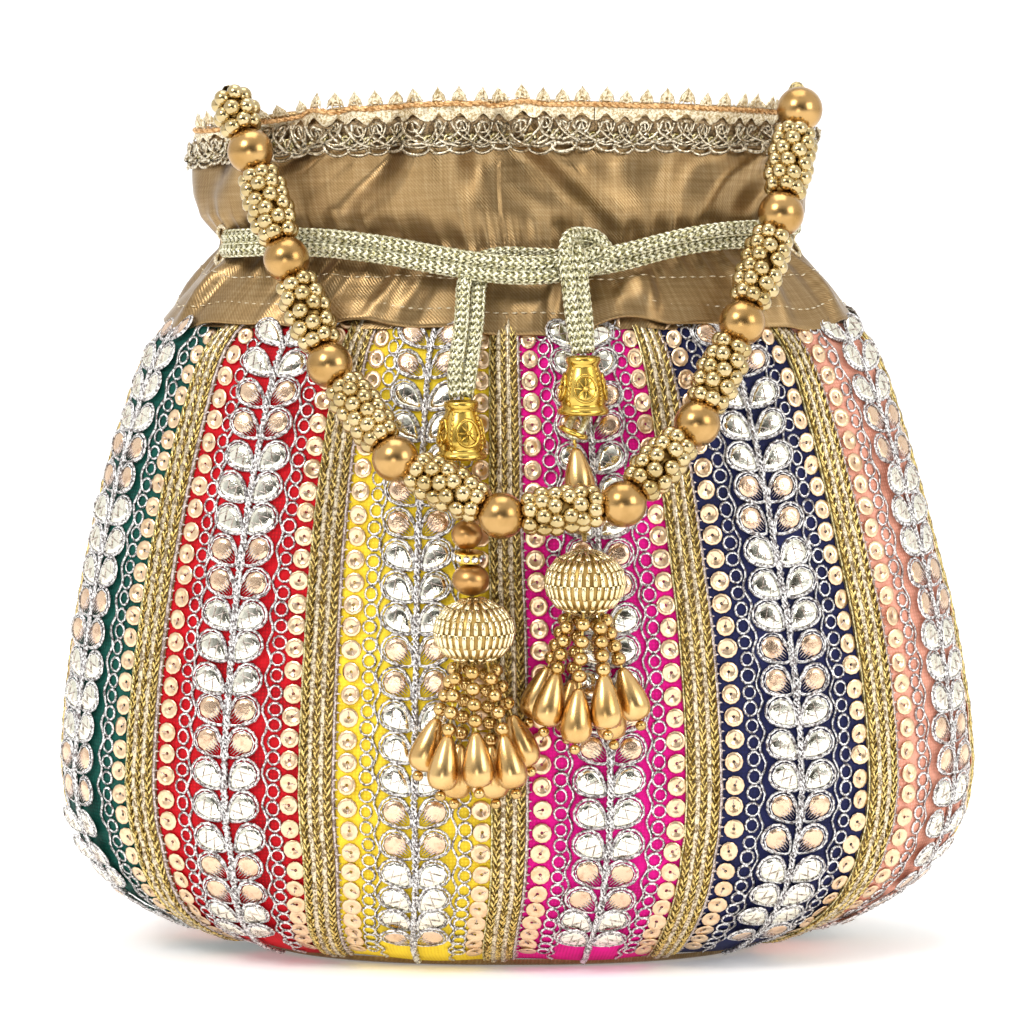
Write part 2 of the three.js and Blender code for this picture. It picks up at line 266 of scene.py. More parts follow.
# Zinc castings, tumbled and plated in bright yellow gold; the rings are a thinner, paler wash
CAP_GOLD = plated("plating_bright_gold", "#D9B85C", "#B8953C", 0.22)
RING_GOLD = plated("plating_pale_gold", "#E6C766", "#C9A23E", 0.18)
# Glass bugle beads lined with silver-gold foil, on a core painted a duller gold
BUGLE = plated("bugle_pale_gold", "#F6E9C2", "#E2CE98", 0.24)
BUGLE_CORE = plated("bugle_core", "#BA9A5C", "#9A7A42", 0.4)
# Foil-backed glass stones: nearly a clean mirror
CRYSTAL = plated("rhinestone", "#F4F1EA", "#CFCBC4", 0.08)


# ---------------------------------------------------------------- mesh tools
def piece(name, parts, body, replaced=(), smooth=True):
    """Joins (points, faces, material) parts, in millimetres, into one object that rides on a body.
    A part may carry a fourth value: one map coordinate, in metres, for each point."""
    points, corners, starts, marks, mats, maps = [], [], [], [], [], []
    base = 0
    for verts, faces, material, *uv in parts:
        verts, faces = np.asarray(verts, float).reshape(-1, 3), np.asarray(faces, int)
        if material not in mats:
            mats.append(material)
        points.append(verts)
        corners.append((faces + base).ravel())
        starts.append(np.full(len(faces), faces.shape[1]))
        marks.append(np.full(len(faces), mats.index(material)))
        maps.append(np.asarray(uv[0], float) if uv else verts[:, :2] * MM)
        base += len(verts)
    points, corners = np.concatenate(points) * MM, np.concatenate(corners)
    sizes, maps = np.concatenate(starts), np.concatenate(maps)
    mesh = bpy.data.meshes.new(name)
    mesh.vertices.add(len(points))
    mesh.vertices.foreach_set("co", points.ravel())
    mesh.loops.add(len(corners))
    mesh.loops.foreach_set("vertex_index", corners)
    mesh.polygons.add(len(sizes))
    mesh.polygons.foreach_set("loop_start", np.concatenate([[0], np.cumsum(sizes)[:-1]]))
    mesh.polygons.foreach_set("loop_total", sizes)
    mesh.polygons.foreach_set("material_index", np.concatenate(marks))
    mesh.polygons.foreach_set("use_smooth", np.full(len(sizes), smooth))
    layer = mesh.uv_layers.new(name="threads")
    layer.data.foreach_set("uv", maps[corners].ravel())
    for material in mats:
        mesh.materials.append(material)
    mesh.update(calc_edges=True)
    mesh.validate()
    made = bpy.data.objects.new(name, mesh)
    bpy.context.scene.collection.objects.link(made)
    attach(made, body)
    if replaced:
        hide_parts(*replaced)
    return made


def unit(v):
    """Vectors brought to length 1."""
    return v / np.maximum(np.linalg.norm(v, axis=-1, keepdims=True), 1e-12)


def copies(template, places, xs, ys, zs):
    """Copies of a (points, faces) template, each in its own frame; xs, ys and zs carry the scale."""
    verts, faces = template
    places, xs, ys, zs = (np.asarray(a, float).reshape(-1, 3) for a in (places, xs, ys, zs))
    points = np.einsum("vk,nkc->nvc", verts, np.stack([xs, ys, zs], 1)) + places[:, None]
    shift = np.arange(len(places))[:, None, None] * len(verts)
    return points.reshape(-1, 3), (faces[None] + shift).reshape(-1, faces.shape[1])


def grid_faces(rows, columns, closed_columns=True, closed_rows=False):
    """Quads over a grid of points, row by row."""
    r = np.arange(rows if closed_rows else rows - 1)
    c = np.arange(columns if closed_columns else columns - 1)
    r, c = (a.ravel() for a in np.meshgrid(r, c, indexing="ij"))
    r2, c2 = (r + 1) % rows, (c + 1) % columns
    return np.stack([r * columns + c, r * columns + c2, r2 * columns + c2, r2 * columns + c], 1)


def turned(profile, sides):
    """Solid of revolution about z from (radius, height) points, closed at both ends."""
    profile = np.array(profile, float)
    angle = np.arange(sides) / sides * TAU
    ring = np.stack([np.cos(angle), np.sin(angle)], 1)
    points = np.concatenate([profile[:, None, :1] * ring[None],
                             np.broadcast_to(profile[:, None, 1:], (len(profile), sides, 1))], 2)
    return points.reshape(-1, 3), grid_faces(len(profile), sides)


def globe(radius=1.0, height=1.0, sides=24, rows=14):
    """Ball of the given half width and half height."""
    t = np.linspace(0.001, math.pi - 0.001, rows)
    return turned(np.stack([radius * np.sin(t), -height * np.cos(t)], 1), sides)


def hoop(radius, wire, sides, section, stretch=1.0):
    """Ring of wire lying in the x-y plane."""
    a, b = np.meshgrid(np.arange(sides) / sides * TAU, np.arange(section) / section * TAU, indexing="ij")
    r = radius + wire * np.cos(b)
    points = np.stack([r * np.cos(a), r * np.sin(a) * stretch, wire * np.sin(b)], 2)
    return points.reshape(-1, 3), grid_faces(sides, section, True, True)


def grain(length, width, height, sides=4):
    """Spindle along y, pointed at both ends: one stitch of thick thread."""
    rings = [(-0.5, 0.1), (0.0, 1.0), (0.5, 0.1)]
    a = np.arange(sides) / sides * TAU
    points = [[width / 2 * k * math.cos(t), y * length, height / 2 * k * math.sin(t)]
              for y, k in rings for t in a]
    return np.array(points), grid_faces(len(rings), sides)


def cord_along(path, normals, width, height, section=6, closed=False, twist=None):
    """Tube along one or many paths (n, steps, 3), flattened along the given normals.
    `twist` (amount, turns per step) swells the section in a spiral, as twisted yarn does."""
    path = np.asarray(path, float)
    many = path if path.ndim == 3 else path[None]
    up = np.broadcast_to(np.asarray(normals, float), many.shape)
    ahead = np.gradient(many, axis=1)
    if closed:
        ahead = np.roll(many, -1, 1) - np.roll(many, 1, 1)
    side = unit(np.cross(ahead, up))
    up = unit(np.cross(side, ahead))
    a = np.arange(section) / section * TAU
    swell = np.ones((many.shape[1], section))
    if twist:
        steps = np.arange(many.shape[1])[:, None]
        swell = 1 + twist[0] * np.cos(2 * (a[None] - steps * twist[1] * TAU))
    points = (many[:, :, None] + side[:, :, None] * (np.cos(a) * swell)[None, ..., None] * width / 2
              + up[:, :, None] * (np.sin(a) * swell)[None, ..., None] * height / 2)
    faces = grid_faces(many.shape[1], section, True, closed)
    shift = np.arange(len(many))[:, None, None] * many.shape[1] * section
    return points.reshape(-1, 3), (faces[None] + shift).reshape(-1, 4)


def smooth_path(points, steps):
    """Catmull-Rom curve through the points, resampled at even steps of its length."""
    p = np.array(points, float)
    p = np.concatenate([[2 * p[0] - p[1]], p, [2 * p[-1] - p[-2]]])
    t = np.linspace(0, 1, 24, endpoint=False)[:, None]
    runs = [0.5 * (2 * b + (c - a) * t + (2 * a - 5 * b + 4 * c - d) * t ** 2
                   + (3 * b - a - 3 * c + d) * t ** 3)
            for a, b, c, d in zip(p, p[1:], p[2:], p[3:])]
    dense = np.concatenate(runs + [p[-2:-1]])
    along = np.concatenate([[0], np.cumsum(np.linalg.norm(np.diff(dense, axis=0), axis=1))])
    at = np.linspace(0, along[-1], steps)
    return np.stack([np.interp(at, along, dense[:, k]) for k in range(3)], 1)


def wobble(x, seed, waves=6, lowest=1.0):
    """Smooth repeatable unevenness between about -1 and 1; x in turns, so it closes on itself."""
    rng = np.random.default_rng(seed)
    total = np.zeros_like(np.asarray(x, float))
    for k in range(waves):
        turns = round(lowest * (1.55 ** k) + rng.integers(0, 2))
        total = total + np.sin(TAU * (turns * x + rng.random())) / (1 + 0.6 * k)
    return total / 2.2


# ---------------------------------------------------------------- drawcord and handle routes
CORD_WIDTH, CORD_THICK = 4.3, 3.5
CORD_CORE = 0.74  # the core's share of the cord's width
STITCH_ROW = 1.9
STITCH_COLUMNS = 12
STITCH_LEAN = 0.55
LAY = {"left": 0.15, "right": 0.5}  # how far one strand lies in front of the other, in cord widths
CAPS = {"left": (-14.3, -59.6, 137.4), "right": (16.9, -56.4, 148.6)}
# Left cord: from the left slit across the front, over the other cord, round behind it, over the top
# and down to the right cap. Right cord: from the right slit, behind, out to the left and down.
LEFT_ROUTE = [
    (-71, -5, 190.1), (-75.2, -10, 190.3), (-76.8, -15.6, 190.5), (-74.8, -22, 190.9),
    (-69.4, -28, 191.4), (-61, -32.6, 191.8),
    (-50, -36.6, 191.6), (-41, -39.6, 190.8), (-32, -41.6, 189.6), (-22, -43.4, 187.8), (-12, -45.4, 186.2),
    (-3, -48.2, 185.2), (6, -50.4, 185.2), (13, -49.8, 186.2), (19.4, -46.6, 187.4), (22.4, -42.6, 189),
    (20.2, -40.8, 191.2), (16.2, -43.2, 192.4), (14.2, -48.8, 192), (14, -53.2, 189.2),
    (14.6, -55, 184.6), (15.2, -54.4, 179), (16, -54.2, 172), (16.9, -56, 164.4),
]
RIGHT_ROUTE = [
    (66.5, -3, 192.4), (70.6, -8, 192.7), (72.6, -13.6, 193), (70.8, -20, 193.3),
    (66, -26, 193.6), (59.6, -30.6, 193.6),
    (52, -34.6, 193.2), (44.5, -37.4, 192.2), (37, -39.6, 190.6), (30, -41.2, 188.8), (22, -41.8, 187.2),
    (13, -41.2, 186.6), (4, -41.4, 187), (-4, -41.2, 187.2), (-9.2, -42.4, 185.6), (-11.6, -45.2, 181.4),
    (-12, -49, 176.6), (-12.4, -52.2, 171), (-13.2, -55, 164.8), (-14, -57.6, 158.8), (-14.3, -59, 153.4),
]
PIVOTS = [(-75, -32, 231), (74, -20.5, 230.5)]
BALLS = [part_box(f"handle_ball_{i + 1}") for i in range(10)]
BALLS = [np.array((low + high) / 2) / MM for low, high in BALLS]


def knitted(route, width, thick):
    """Tubular knit: columns of V stitches round a soft core."""
    length = np.linalg.norm(np.diff(route, axis=0), axis=1).sum()
    rows = int(length / STITCH_ROW)
    path = smooth_path(route, rows * 4 + 1)
    ahead = unit(np.gradient(path, axis=0))
    out = unit(path * [1, 1, 0] - [0, 8, 0])
    side = unit(np.cross(ahead, out))
    out = unit(np.cross(side, ahead))
    core = cord_along(path[::4], out[::4], width * CORD_CORE, thick * CORD_CORE, 8)
    parts = [(*core, ZARI_CORE)]
    template = grain(STITCH_ROW * 1.45, 1.2, 0.9)
    at, ahead, side, out = (a[2::4][:rows] for a in (path, ahead, side, out))
    for column in range(STITCH_COLUMNS):
        angle = (column + 0.5) / STITCH_COLUMNS * TAU
        lean = STITCH_LEAN if column % 2 else -STITCH_LEAN
        radial = side * math.cos(angle) + out * math.sin(angle)
        across = -side * math.sin(angle) + out * math.cos(angle)
        reach = 1 / math.hypot(math.cos(angle) / (width / 2), math.sin(angle) / (thick / 2))
        y = unit(ahead + across * lean)
        x = unit(np.cross(y, radial))
        parts.append((*copies(template, at + radial * (reach - 0.45), x, y, radial), ZARI))
    return path, parts


def drawcord(side, route, replaced):
    """A doubled cord: two knitted strands side by side, both ending in one cap."""
    route = np.array(route, float)
    ahead = unit(np.gradient(route, axis=0))
    out = unit(route * [1, 1, 0] - [0, 8, 0])
    across = unit(np.cross(ahead, out))
    close = np.ones(len(route))
    close[-1] = 0.62  # the strands draw together in the cap's neck
    for strand, offset in enumerate((-0.5, 0.5), 1):
        line = route + (across * 0.82 + out * LAY[side]) * (offset * CORD_WIDTH * close)[:, None]
        path, parts = knitted(line, CORD_WIDTH, CORD_THICK)
        made = piece(f"zari_{side}_strand_{strand}", parts, "bag", replaced)


# ---------------------------------------------------------------- bag surfaces
SQUARE = 2.25  # power of the bag's plan: 2 is an ellipse, more is squarer
UNIT = 50.0  # one stripe and its braid, at the widest
STRIPES = 12
NECK = 191  # height of the drawn neck
SEAM = 174  # top of the body cloth
UPRIGHT = 34.0  # below this height the stripes run nearly straight down
STRAIGHT = 0.7  # how nearly
# Height, half width, half depth and shift in x of the cloth, from the base up
BODY = np.array([
    [1.6, 68, 35, -2.6], [2.4, 73, 38, -3], [5, 82, 42.5, -3], [9, 92, 47.5, -2.6], [14, 102, 51.5, -2],
    [20, 110.3, 55, -1], [28, 117.3, 58, -0.2], [38, 121.8, 59.8, 0.2], [50, 123.2, 60.3, 0.3],
    [65, 122, 60.2, 0.3], [80, 119.8, 59.6, 0.1], [95, 117, 58.5, -0.2], [110, 113.4, 56.8, -0.8],
    [125, 109.6, 54.6, -1.1], [140, 105.2, 52, -1.2], [155, 100.4, 48.8, -1.5], [163, 96.8, 46.7, -1.7],
    [168, 92.6, 44.2, -1.7], [174, 86.2, 40.8, -1.8],
])
# The same for the collar, from its hem to its rim
COLLAR = np.array([
    [170, 93.2, 44.8, -1.8], [172.3, 91.6, 44, -1.8], [176, 88.9, 43, -1.8], [180, 85.6, 41.2, -1.8],
    [185, 81.2, 38.8, -2], [188.5, 78, 37, -2.2], [191, 77, 36.4, -2.4], [194.5, 78.6, 36.8, -3],
    [199, 80.6, 37.6, -3.8], [206, 81.6, 38.4, -4.2], [216, 82, 39.2, -4.2], [228.5, 82, 40, -4.2],
    [233, 82, 40, -4.2],
])


class Skin:
    """A closed surface round the bag, sampled on a grid: u counts stripe units from the middle of the
    front towards +x, v runs up the cloth from 0 to 1. `swell(turn, z)` pushes it outwards."""

    def __init__(self, table, rows, columns, start=0.056, swell=None, drop=None):
        fine = self.smoothed(table)
        step = np.hypot(np.diff(fine[:, 0]), 0.6 * np.diff(fine[:, 1]) + 0.4 * np.diff(fine[:, 2]))
        along = np.concatenate([[0], np.cumsum(step)])
        self.height = along[-1]
        share = np.linspace(0, 1, rows)
        table = np.stack([np.interp(share * along[-1], along, fine[:, k]) for k in range(4)], 1)
        angle = np.linspace(-math.pi / 2, 1.5 * math.pi, 1441)
        e = 2 / SQUARE
        cos, sin = np.cos(angle), np.sin(angle)
        px = np.sign(cos) * np.abs(cos) ** e
        py = np.sign(sin) * np.abs(sin) ** e
        turn = (np.arange(columns) / columns + start / STRIPES) % 1
        grid = np.empty((rows, columns, 3))
        quarter = np.floor(turn * 4).astype(int)
        widest, deepest = (np.interp(UPRIGHT, table[:, 0], table[:, k]) for k in (1, 2))
        run = np.concatenate([[0], np.cumsum(np.hypot(widest * np.diff(px), deepest * np.diff(py)))])
        reach = np.interp(turn * run[-1], run, np.abs(px))
        for i, (level, a, b, shift) in enumerate(table):
            x, y = a * px, b * py
            run = np.concatenate([[0], np.cumsum(np.hypot(np.diff(x), np.diff(y)))])
            at = turn * run[-1]
            if level < UPRIGHT < table[-1, 0] - 50:
                # the cloth keeps straight down to the base instead of drawing in with it
                draw = (widest / a) ** 5 - 1
                aside = reach * widest / a / (1 + reach ** 5 * draw) ** 0.2
                share = np.interp(aside, px[:361], run[:361])
                straight = np.choose(quarter, [share, run[720] - share, run[720] + share, run[-1] - share])
                at = STRAIGHT * straight + (1 - STRAIGHT) * at
            grid[i] = np.stack([np.interp(at, run, x) + shift, np.interp(at, run, y),
                                np.full(columns, level)], 1)
        self.turn = np.arange(columns) / columns
        if drop is not None:
            grid[..., 2] -= drop(grid)
        self.grid = grid
        self.normals()
        if swell is not None:
            self.grid = grid + self.n * swell(self.turn[None, :], grid[..., 2])[..., None]
            self.normals()

    @staticmethod
    def smoothed(table, samples=600, window=13, passes=3):
        """The profile's table sampled finely, with its corners eased."""
        z = np.linspace(table[0, 0], table[-1, 0], samples)
        fine = np.stack([np.interp(z, table[:, 0], table[:, k]) for k in range(4)], 1)
        half = window // 2
        kernel = np.ones(window) / window
        for _ in range(passes):
            for k in (1, 2, 3):
                padded = np.concatenate([2 * fine[0, k] - fine[half:0:-1, k], fine[:, k],
                                         2 * fine[-1, k] - fine[-2:-half - 2:-1, k]])
                fine[:, k] = np.convolve(padded, kernel, "valid")
        return fine

    def normals(self):
        """Works out the ways along u, along v and outward, and the width of a stripe unit."""
        g = self.grid
        self.t = unit(np.roll(g, -1, 1) - np.roll(g, 1, 1))
        w = np.gradient(g, axis=0)
        self.n = unit(np.cross(self.t, w))
        self.w = unit(np.cross(self.n, self.t))
        self.step = np.linalg.norm(np.roll(g, -1, 1) - g, axis=2) / (STRIPES * UNIT / g.shape[1])

    def at(self, u, v, lift=0.0):
        """Points and frames (point, along u, along v, outward) at stripe unit u and share v."""
        u, v = np.broadcast_arrays(np.asarray(u, float), np.asarray(v, float))
        rows, columns = self.grid.shape[:2]
        c = (u / STRIPES % 1) * columns
        r = np.clip(v, 0, 1) * (rows - 1)
        c0, r0 = np.floor(c).astype(int), np.minimum(np.floor(r).astype(int), rows - 2)
        fc, fr = (c - c0)[..., None], (r - r0)[..., None]
        c0, c1 = c0 % columns, (c0 + 1) % columns

        def mix(g):
            return ((g[r0, c0] * (1 - fc) + g[r0, c1] * fc) * (1 - fr)
                    + (g[r0 + 1, c0] * (1 - fc) + g[r0 + 1, c1] * fc) * fr)
        out = unit(mix(self.n))
        return mix(self.grid) + out * np.asarray(lift)[..., None], unit(mix(self.t)), unit(mix(self.w)), out

    def across(self, u, v):
        """Width of the stripes at a place, against their widest."""
        rows, columns = self.grid.shape[:2]
        u, v = np.broadcast_arrays(np.asarray(u, float), np.asarray(v, float))
        c = np.round((u / STRIPES % 1) * columns).astype(int) % columns
        return self.step[np.round(np.clip(v, 0, 1) * (rows - 1)).astype(int), c]

    def share(self, z):
        """Share v at which the front of the surface reaches height z."""
        return np.interp(z, self.grid[:, 0, 2], np.linspace(0, 1, len(self.grid)))

    def sheet(self, material):
        """The whole surface as a part for `piece`, with thread coordinates in metres."""
        g = self.grid
        uv = np.stack(np.broadcast_arrays(self.turn[None, :] * STRIPES * UNIT * MM,
                                          np.linspace(0, self.height, len(g))[:, None] * MM), 2)
        return g.reshape(-1, 3), grid_faces(*g.shape[:2]), material, uv.reshape(-1, 2)


def body_swell(turn, z):
    """Soft stuffing of the body: slow bulges, and gathers that fade out below the collar seam."""
    fade = np.clip((SEAM - z) / 60, 0, 1) * np.clip(z / 30, 0, 1)
    slow = 0.9 * wobble(turn + 0.02 * np.sin(z / 25), 3) * fade
    near = np.clip((z - 128) / 46, 0, 1) ** 2
    gathers = -1.3 * near * (0.5 + 0.5 * np.sin(TAU * (31 * turn + 0.4 * wobble(turn, 5))))
    low = np.clip((26 - z) / 26, 0, 1) ** 1.5
    tucks = -0.9 * low * (0.5 + 0.5 * np.cos(TAU * STRIPES * turn))
    panels = 0.5 * np.cos(TAU * (STRIPES * turn - 0.4)) * np.clip(z / 20, 0, 1)
    return slow + gathers + tucks + panels


def collar_drop(grid):
    """The rim dips to the left, a little to the right, and at the back."""
    angle = np.arctan2(grid[..., 1] / 40, (grid[..., 0] + 4.2) / 82)
    side, back = np.cos(angle), np.maximum(0, np.sin(angle))
    dip = np.where(side < 0, 8, 3) * side ** 2 + 8 * back ** 2
    return dip * np.clip((grid[..., 2] - NECK) / 37.5, 0, 1)


def collar_swell(turn, z):
    """Gathered satin: tight pleats at the drawn neck that open into soft rolls above and below it."""
    neck = np.exp(-((z - NECK) / 7.0) ** 2)
    above = np.clip((z - 192) / 20, 0, 1) * np.clip((238 - z) / 18, 0.45, 1)
    below = np.clip((190 - z) / 8, 0, 1) * np.clip((z - 168) / 10, 0, 1)
    sway = turn + 0.008 * np.sin((z - 190) / 8) + 0.004 * wobble(turn, 81, 3, 5) * (z - 200) / 10
    tight = -1.6 * neck * np.abs(np.sin(TAU * (29 * turn + 0.8 * wobble(turn, 11))))
    lean = 0.0034 * (z - 205) * np.sin(TAU * 3 * turn + 1)
    rolls = above * (3.8 * wobble(sway, 21, 4, 6) + 4.4 * wobble(sway + lean, 23, 3, 9) - 2.4)
    puffs = below * np.maximum(3.0 * wobble(turn - 0.004 * (z - 180) / 6, 31, 4, 13) - 0.9, -0.9)
    return tight + rolls + puffs


body_skin = Skin(BODY, 96, 276, swell=body_swell)
collar_skin = Skin(COLLAR, 66, 384, start=0, swell=collar_swell, drop=collar_drop)


# ---------------------------------------------------------------- embroidered body
# The silks go round twice, from the middle of the front towards +x
ROW_BASE, ROW_TOP = 0.02, 0.985  # shares of the cloth's height where the long cords start and end
# Where each row lies, as a share of a stripe unit
LAYOUT = {"sequins": (0.066, 0.757), "rings": (0.164, 0.669), "waves": (0.212, 0.618), "stem": 0.412,
          "braid": (0.805, 1.0)}
SEQUIN_PITCH, RING_PITCH, LEAF_PITCH, BRAID_PITCH, PICOT_PITCH = 5.9, 4.35, 8.35, 2.3, 2.5


def cloth():
    """The twelve silk stripes as one sheet; a stripe's colour runs to the middle of its braids."""
    points, faces, _, uv = body_skin.sheet(SILKS[0])
    columns = body_skin.grid.shape[1]
    half_braid = np.ptp(LAYOUT["braid"]) / 2
    stripe = ((np.arange(len(faces)) % columns + 0.5) / columns * STRIPES + half_braid) % STRIPES
    parts = []
    for k in range(len(SILKS)):
        chosen = faces[(stripe.astype(int) % len(SILKS)) == k]
        used, index = np.unique(chosen, return_inverse=True)
        parts.append((points[used], index.reshape(-1, 4), SILKS[k], uv[used]))
    made = piece("silk_body", parts, "bag", ["outer_body"])


def rows_at(pitch, phase=0.0, low=0.03, high=ROW_TOP):
    """Shares v spaced `pitch` mm apart up the cloth, from the seam down."""
    step = pitch / body_skin.height
    count = int((high - low) / step)
    return high - (np.arange(count) + phase) * step


def every_stripe(fractions, shares, jitter=0.0, seed=1):
    """u and v of one motif on each stripe, at each fraction of its width and each share. None is
    put where the cloth is drawn in to half its width."""
    rng = np.random.default_rng(seed)
    stripe, fraction, v = np.meshgrid(np.arange(STRIPES), fractions, shares, indexing="ij")
    nudge = rng.uniform(-jitter, jitter, (2,) + v.shape)
    u, v = (stripe + fraction + nudge[0] / UNIT).ravel(), (v + nudge[1] / body_skin.height).ravel()
    room = body_skin.across(u, v) > 0.5
    return u[room], v[room]


def couched(u, v, lift):
    """Place and outward way of a cord laid on the cloth; it goes under where the cloth is bunched."""
    bunched = np.clip((0.5 - body_skin.across(u, v)) / 0.12, 0, 1)
    p, _, _, n = body_skin.at(u, v, lift - 2.2 * bunched)
    return p, n


def sequins():
    """Flat dished sequins sewn through the middle, standing slightly askew."""
    profile = [(0.34, 0.06), (0.5, 0.16), (1.15, 0.12), (1.35, 0.26), (2.5, 0.4), (2.68, 0.2)]
    points, _ = turned(profile, 11)
    disc = points, grid_faces(len(profile), 11, True, True)
    u, v = every_stripe(LAYOUT["sequins"], rows_at(SEQUIN_PITCH), 0.25, 2)
    p, t, w, n = body_skin.at(u, v, 0.35)
    rng = np.random.default_rng(3)
    lean = rng.normal(0, 0.09, (2, len(p), 1))
    n = unit(n + t * lean[0] + w * lean[1])
    t = unit(np.cross(w, n))
    w = np.cross(n, t)
    size = np.minimum(1, body_skin.across(u, v) * 1.08)[:, None] * rng.uniform(0.94, 1.03, (len(p), 1))
    discs = copies(disc, p, t * size, w, n)
    turn = rng.uniform(0, TAU, (len(p), 1))
    stitch = grain(2.9, 0.4, 0.34, 3)
    along = t * np.cos(turn) + w * np.sin(turn)
    stitches = copies(stitch, p + n * 0.3 + along * 1.1, np.cross(along, n), along, n)
    piece("sequins", [(*discs, SEQUIN), (*stitches, SILVER_SHADE)],
          "bag")


def thread_rings():
    """Columns of couched loops of silver cord beside each row of sequins."""
    u, v = every_stripe(LAYOUT["rings"], rows_at(RING_PITCH), 0.18, 4)
    p, t, w, n = body_skin.at(u, v, 0.45)
    rng = np.random.default_rng(5)
    width = np.minimum(1, body_skin.across(u, v) * 1.08)[:, None] * rng.uniform(0.88, 1.06, (len(p), 1))
    tall = rng.uniform(0.95, 1.12, (len(p), 1))
    rings = copies(hoop(1.72, 0.38, 10, 3), p, t * width, w * tall, n)
    piece("silver_rings", [(*rings, SILVER_THREAD)], "bag")


def wavy_lines():
    """A line of silver cord each side of the leaves, couched a little unevenly."""
    v = np.linspace(ROW_BASE, ROW_TOP, 120)
    parts = []
    for fraction in LAYOUT["waves"]:
        for stripe in range(STRIPES):
            seed = 40 + stripe + int(fraction * 100)
            sway = (0.75 * np.sin(TAU * v * body_skin.height / LEAF_PITCH + seed)
                    + 0.4 * wobble(v, seed, 5, 3)) / UNIT
            p, n = couched(stripe + fraction + sway, v, 0.42)
            parts.append((*cord_along(p, n, 0.85, 0.7, 3), SILVER_THREAD))
    piece("silver_lines", parts, "bag")


def leaf_outline(length, width, count):
    """Teardrop pointed at the origin and round at the far end, along y."""
    t = np.arange(count) / count * TAU
    y = length * (0.5 - 0.5 * np.cos(t))
    x = width / 2 * np.sin(t) * (0.42 + 0.58 * np.sin(y / length * math.pi / 2)) * 1.06
    return np.stack([x, y, np.zeros(count)], 1)


def foil_pad(length, width, rise, count=12):
    """Padded leaf of foil: domed rings inside the teardrop outline, closed at the crown."""
    outline = leaf_outline(length, width, count)
    centre = np.array([0, length * 0.56, 0])
    rings = [(1.0, 0.0), (0.92, 0.6), (0.6, 0.92), (0.02, 1.0)]
    points = [centre + (outline - centre) * k + [0, 0, rise * h] for k, h in rings]
    return np.concatenate(points), grid_faces(len(rings), count)


def leaves():
    """Pairs of gota leaves up each stem: three pairs of padded silver foil, then two pairs of round
    rose-gold pieces half covered with thread, all outlined in silver cord."""
    all_rows = rows_at(LEAF_PITCH, 0.55, 0.07)
    long, wide = 9.2, 7.7
    silver, copper, hatch, outline = [], [], [], []
    rng = np.random.default_rng(8)
    ring = leaf_outline(long + 0.5, wide + 0.6, 14)
    inner = leaf_outline(long - 0.5, wide - 0.4, 10)
    for stripe in range(STRIPES):
        room = body_skin.across(stripe + LAYOUT["stem"], all_rows) > 0.55
        v = all_rows[room]
        kind = (np.arange(len(all_rows))[room] + stripe * 2 + 1) % 5 >= 3
        for side in (-1, 1):
            sway = 0.25 * rng.normal(size=len(v))
            u = stripe + LAYOUT["stem"] + side * 0.024 + sway / UNIT
            p, t, w, n = body_skin.at(u, v - 0.02, 0.75)
            size = np.minimum(1, body_skin.across(stripe + LAYOUT["stem"], v) * 1.06)[:, None]
            angle = math.radians(47) + rng.normal(0, 0.05, (len(v), 1))
            y = w * np.cos(angle) + t * side * np.sin(angle)
            tilt = rng.normal(0, 0.045, (len(v), 1))
            up = unit(n + t * tilt + w * rng.normal(0, 0.045, (len(v), 1)))
            x = unit(np.cross(y, up))
            y = unit(np.cross(up, x))
            x = x * size
            s, c = ~kind, kind
            silver.append(copies(foil_pad(long - 0.5, wide - 0.5, 0.8), p[s], x[s], y[s], up[s]))
            middle = p[c] + y[c] * 5.5 + up[c] * 0.25
            copper.append(copies(foil_disc(), middle, x[c] * 2.95, y[c] * 2.95, up[c] * 0.8))
            # zigzag of fine thread over the silver, closer satin stitch over the lower half of the copper
            for k in range(5):
                lean = 0.62 if k % 2 else -0.55
                cross = unit(x + y * lean)
                reach = (2.7, 5.0, 6.1, 5.6, 4.2)[k]
                at = p + y * (1.9 + 1.35 * k) + up * (0.95 if k in (1, 2, 3) else 0.7)
                template = grain(1.0, 0.34, 0.32, 3)
                hatch.append(copies(template, at[s], np.cross(cross, up)[s], (cross * reach)[s], up[s]))
            for k in range(7):
                # satin stitches side by side along the leaf, over its inner half
                aside, reach = (k - 3) * 0.78, (2.6, 3.6, 4.3, 4.6, 4.4, 3.8, 2.7)[k]
                along = unit(y + x * (k - 3) * 0.07)
                at = p + x * aside + y * (1.0 + reach / 2 + 0.28 * abs(k - 3)) + up * 0.55
                template = grain(1.0, 0.58, 0.5, 3)
                hatch.append(copies(template, at[c], np.cross(along, up)[c], (along * reach)[c], up[c]))
            for shape, back, lift, gauge in ((ring, 0.3, 0.1, (0.84, 0.8)), (inner, 0, 0.42, (0.45, 0.45))):
                loops = (p[:, None] + x[:, None] * shape[:, :1] + y[:, None] * (shape[:, 1:2] - back)
                         + up[:, None] * lift)
                outline.append(cord_along(loops, up[:, None], *gauge, 3, True))
    piece("gota_leaves", [(*s, FOIL_SILVER) for s in silver] + [(*c, FOIL_COPPER) for c in copper],
          "bag")
    piece("leaf_threads", [(*o, SILVER_THREAD) for o in outline] + [(*h, SILVER_SHADE) for h in hatch],
          "bag")


def foil_disc():
    """Round piece of foil over a low pad."""
    rings = [(1.0, 0.0), (0.94, 0.35), (0.5, 0.48), (0.02, 0.5)]
    return turned(rings, 12)


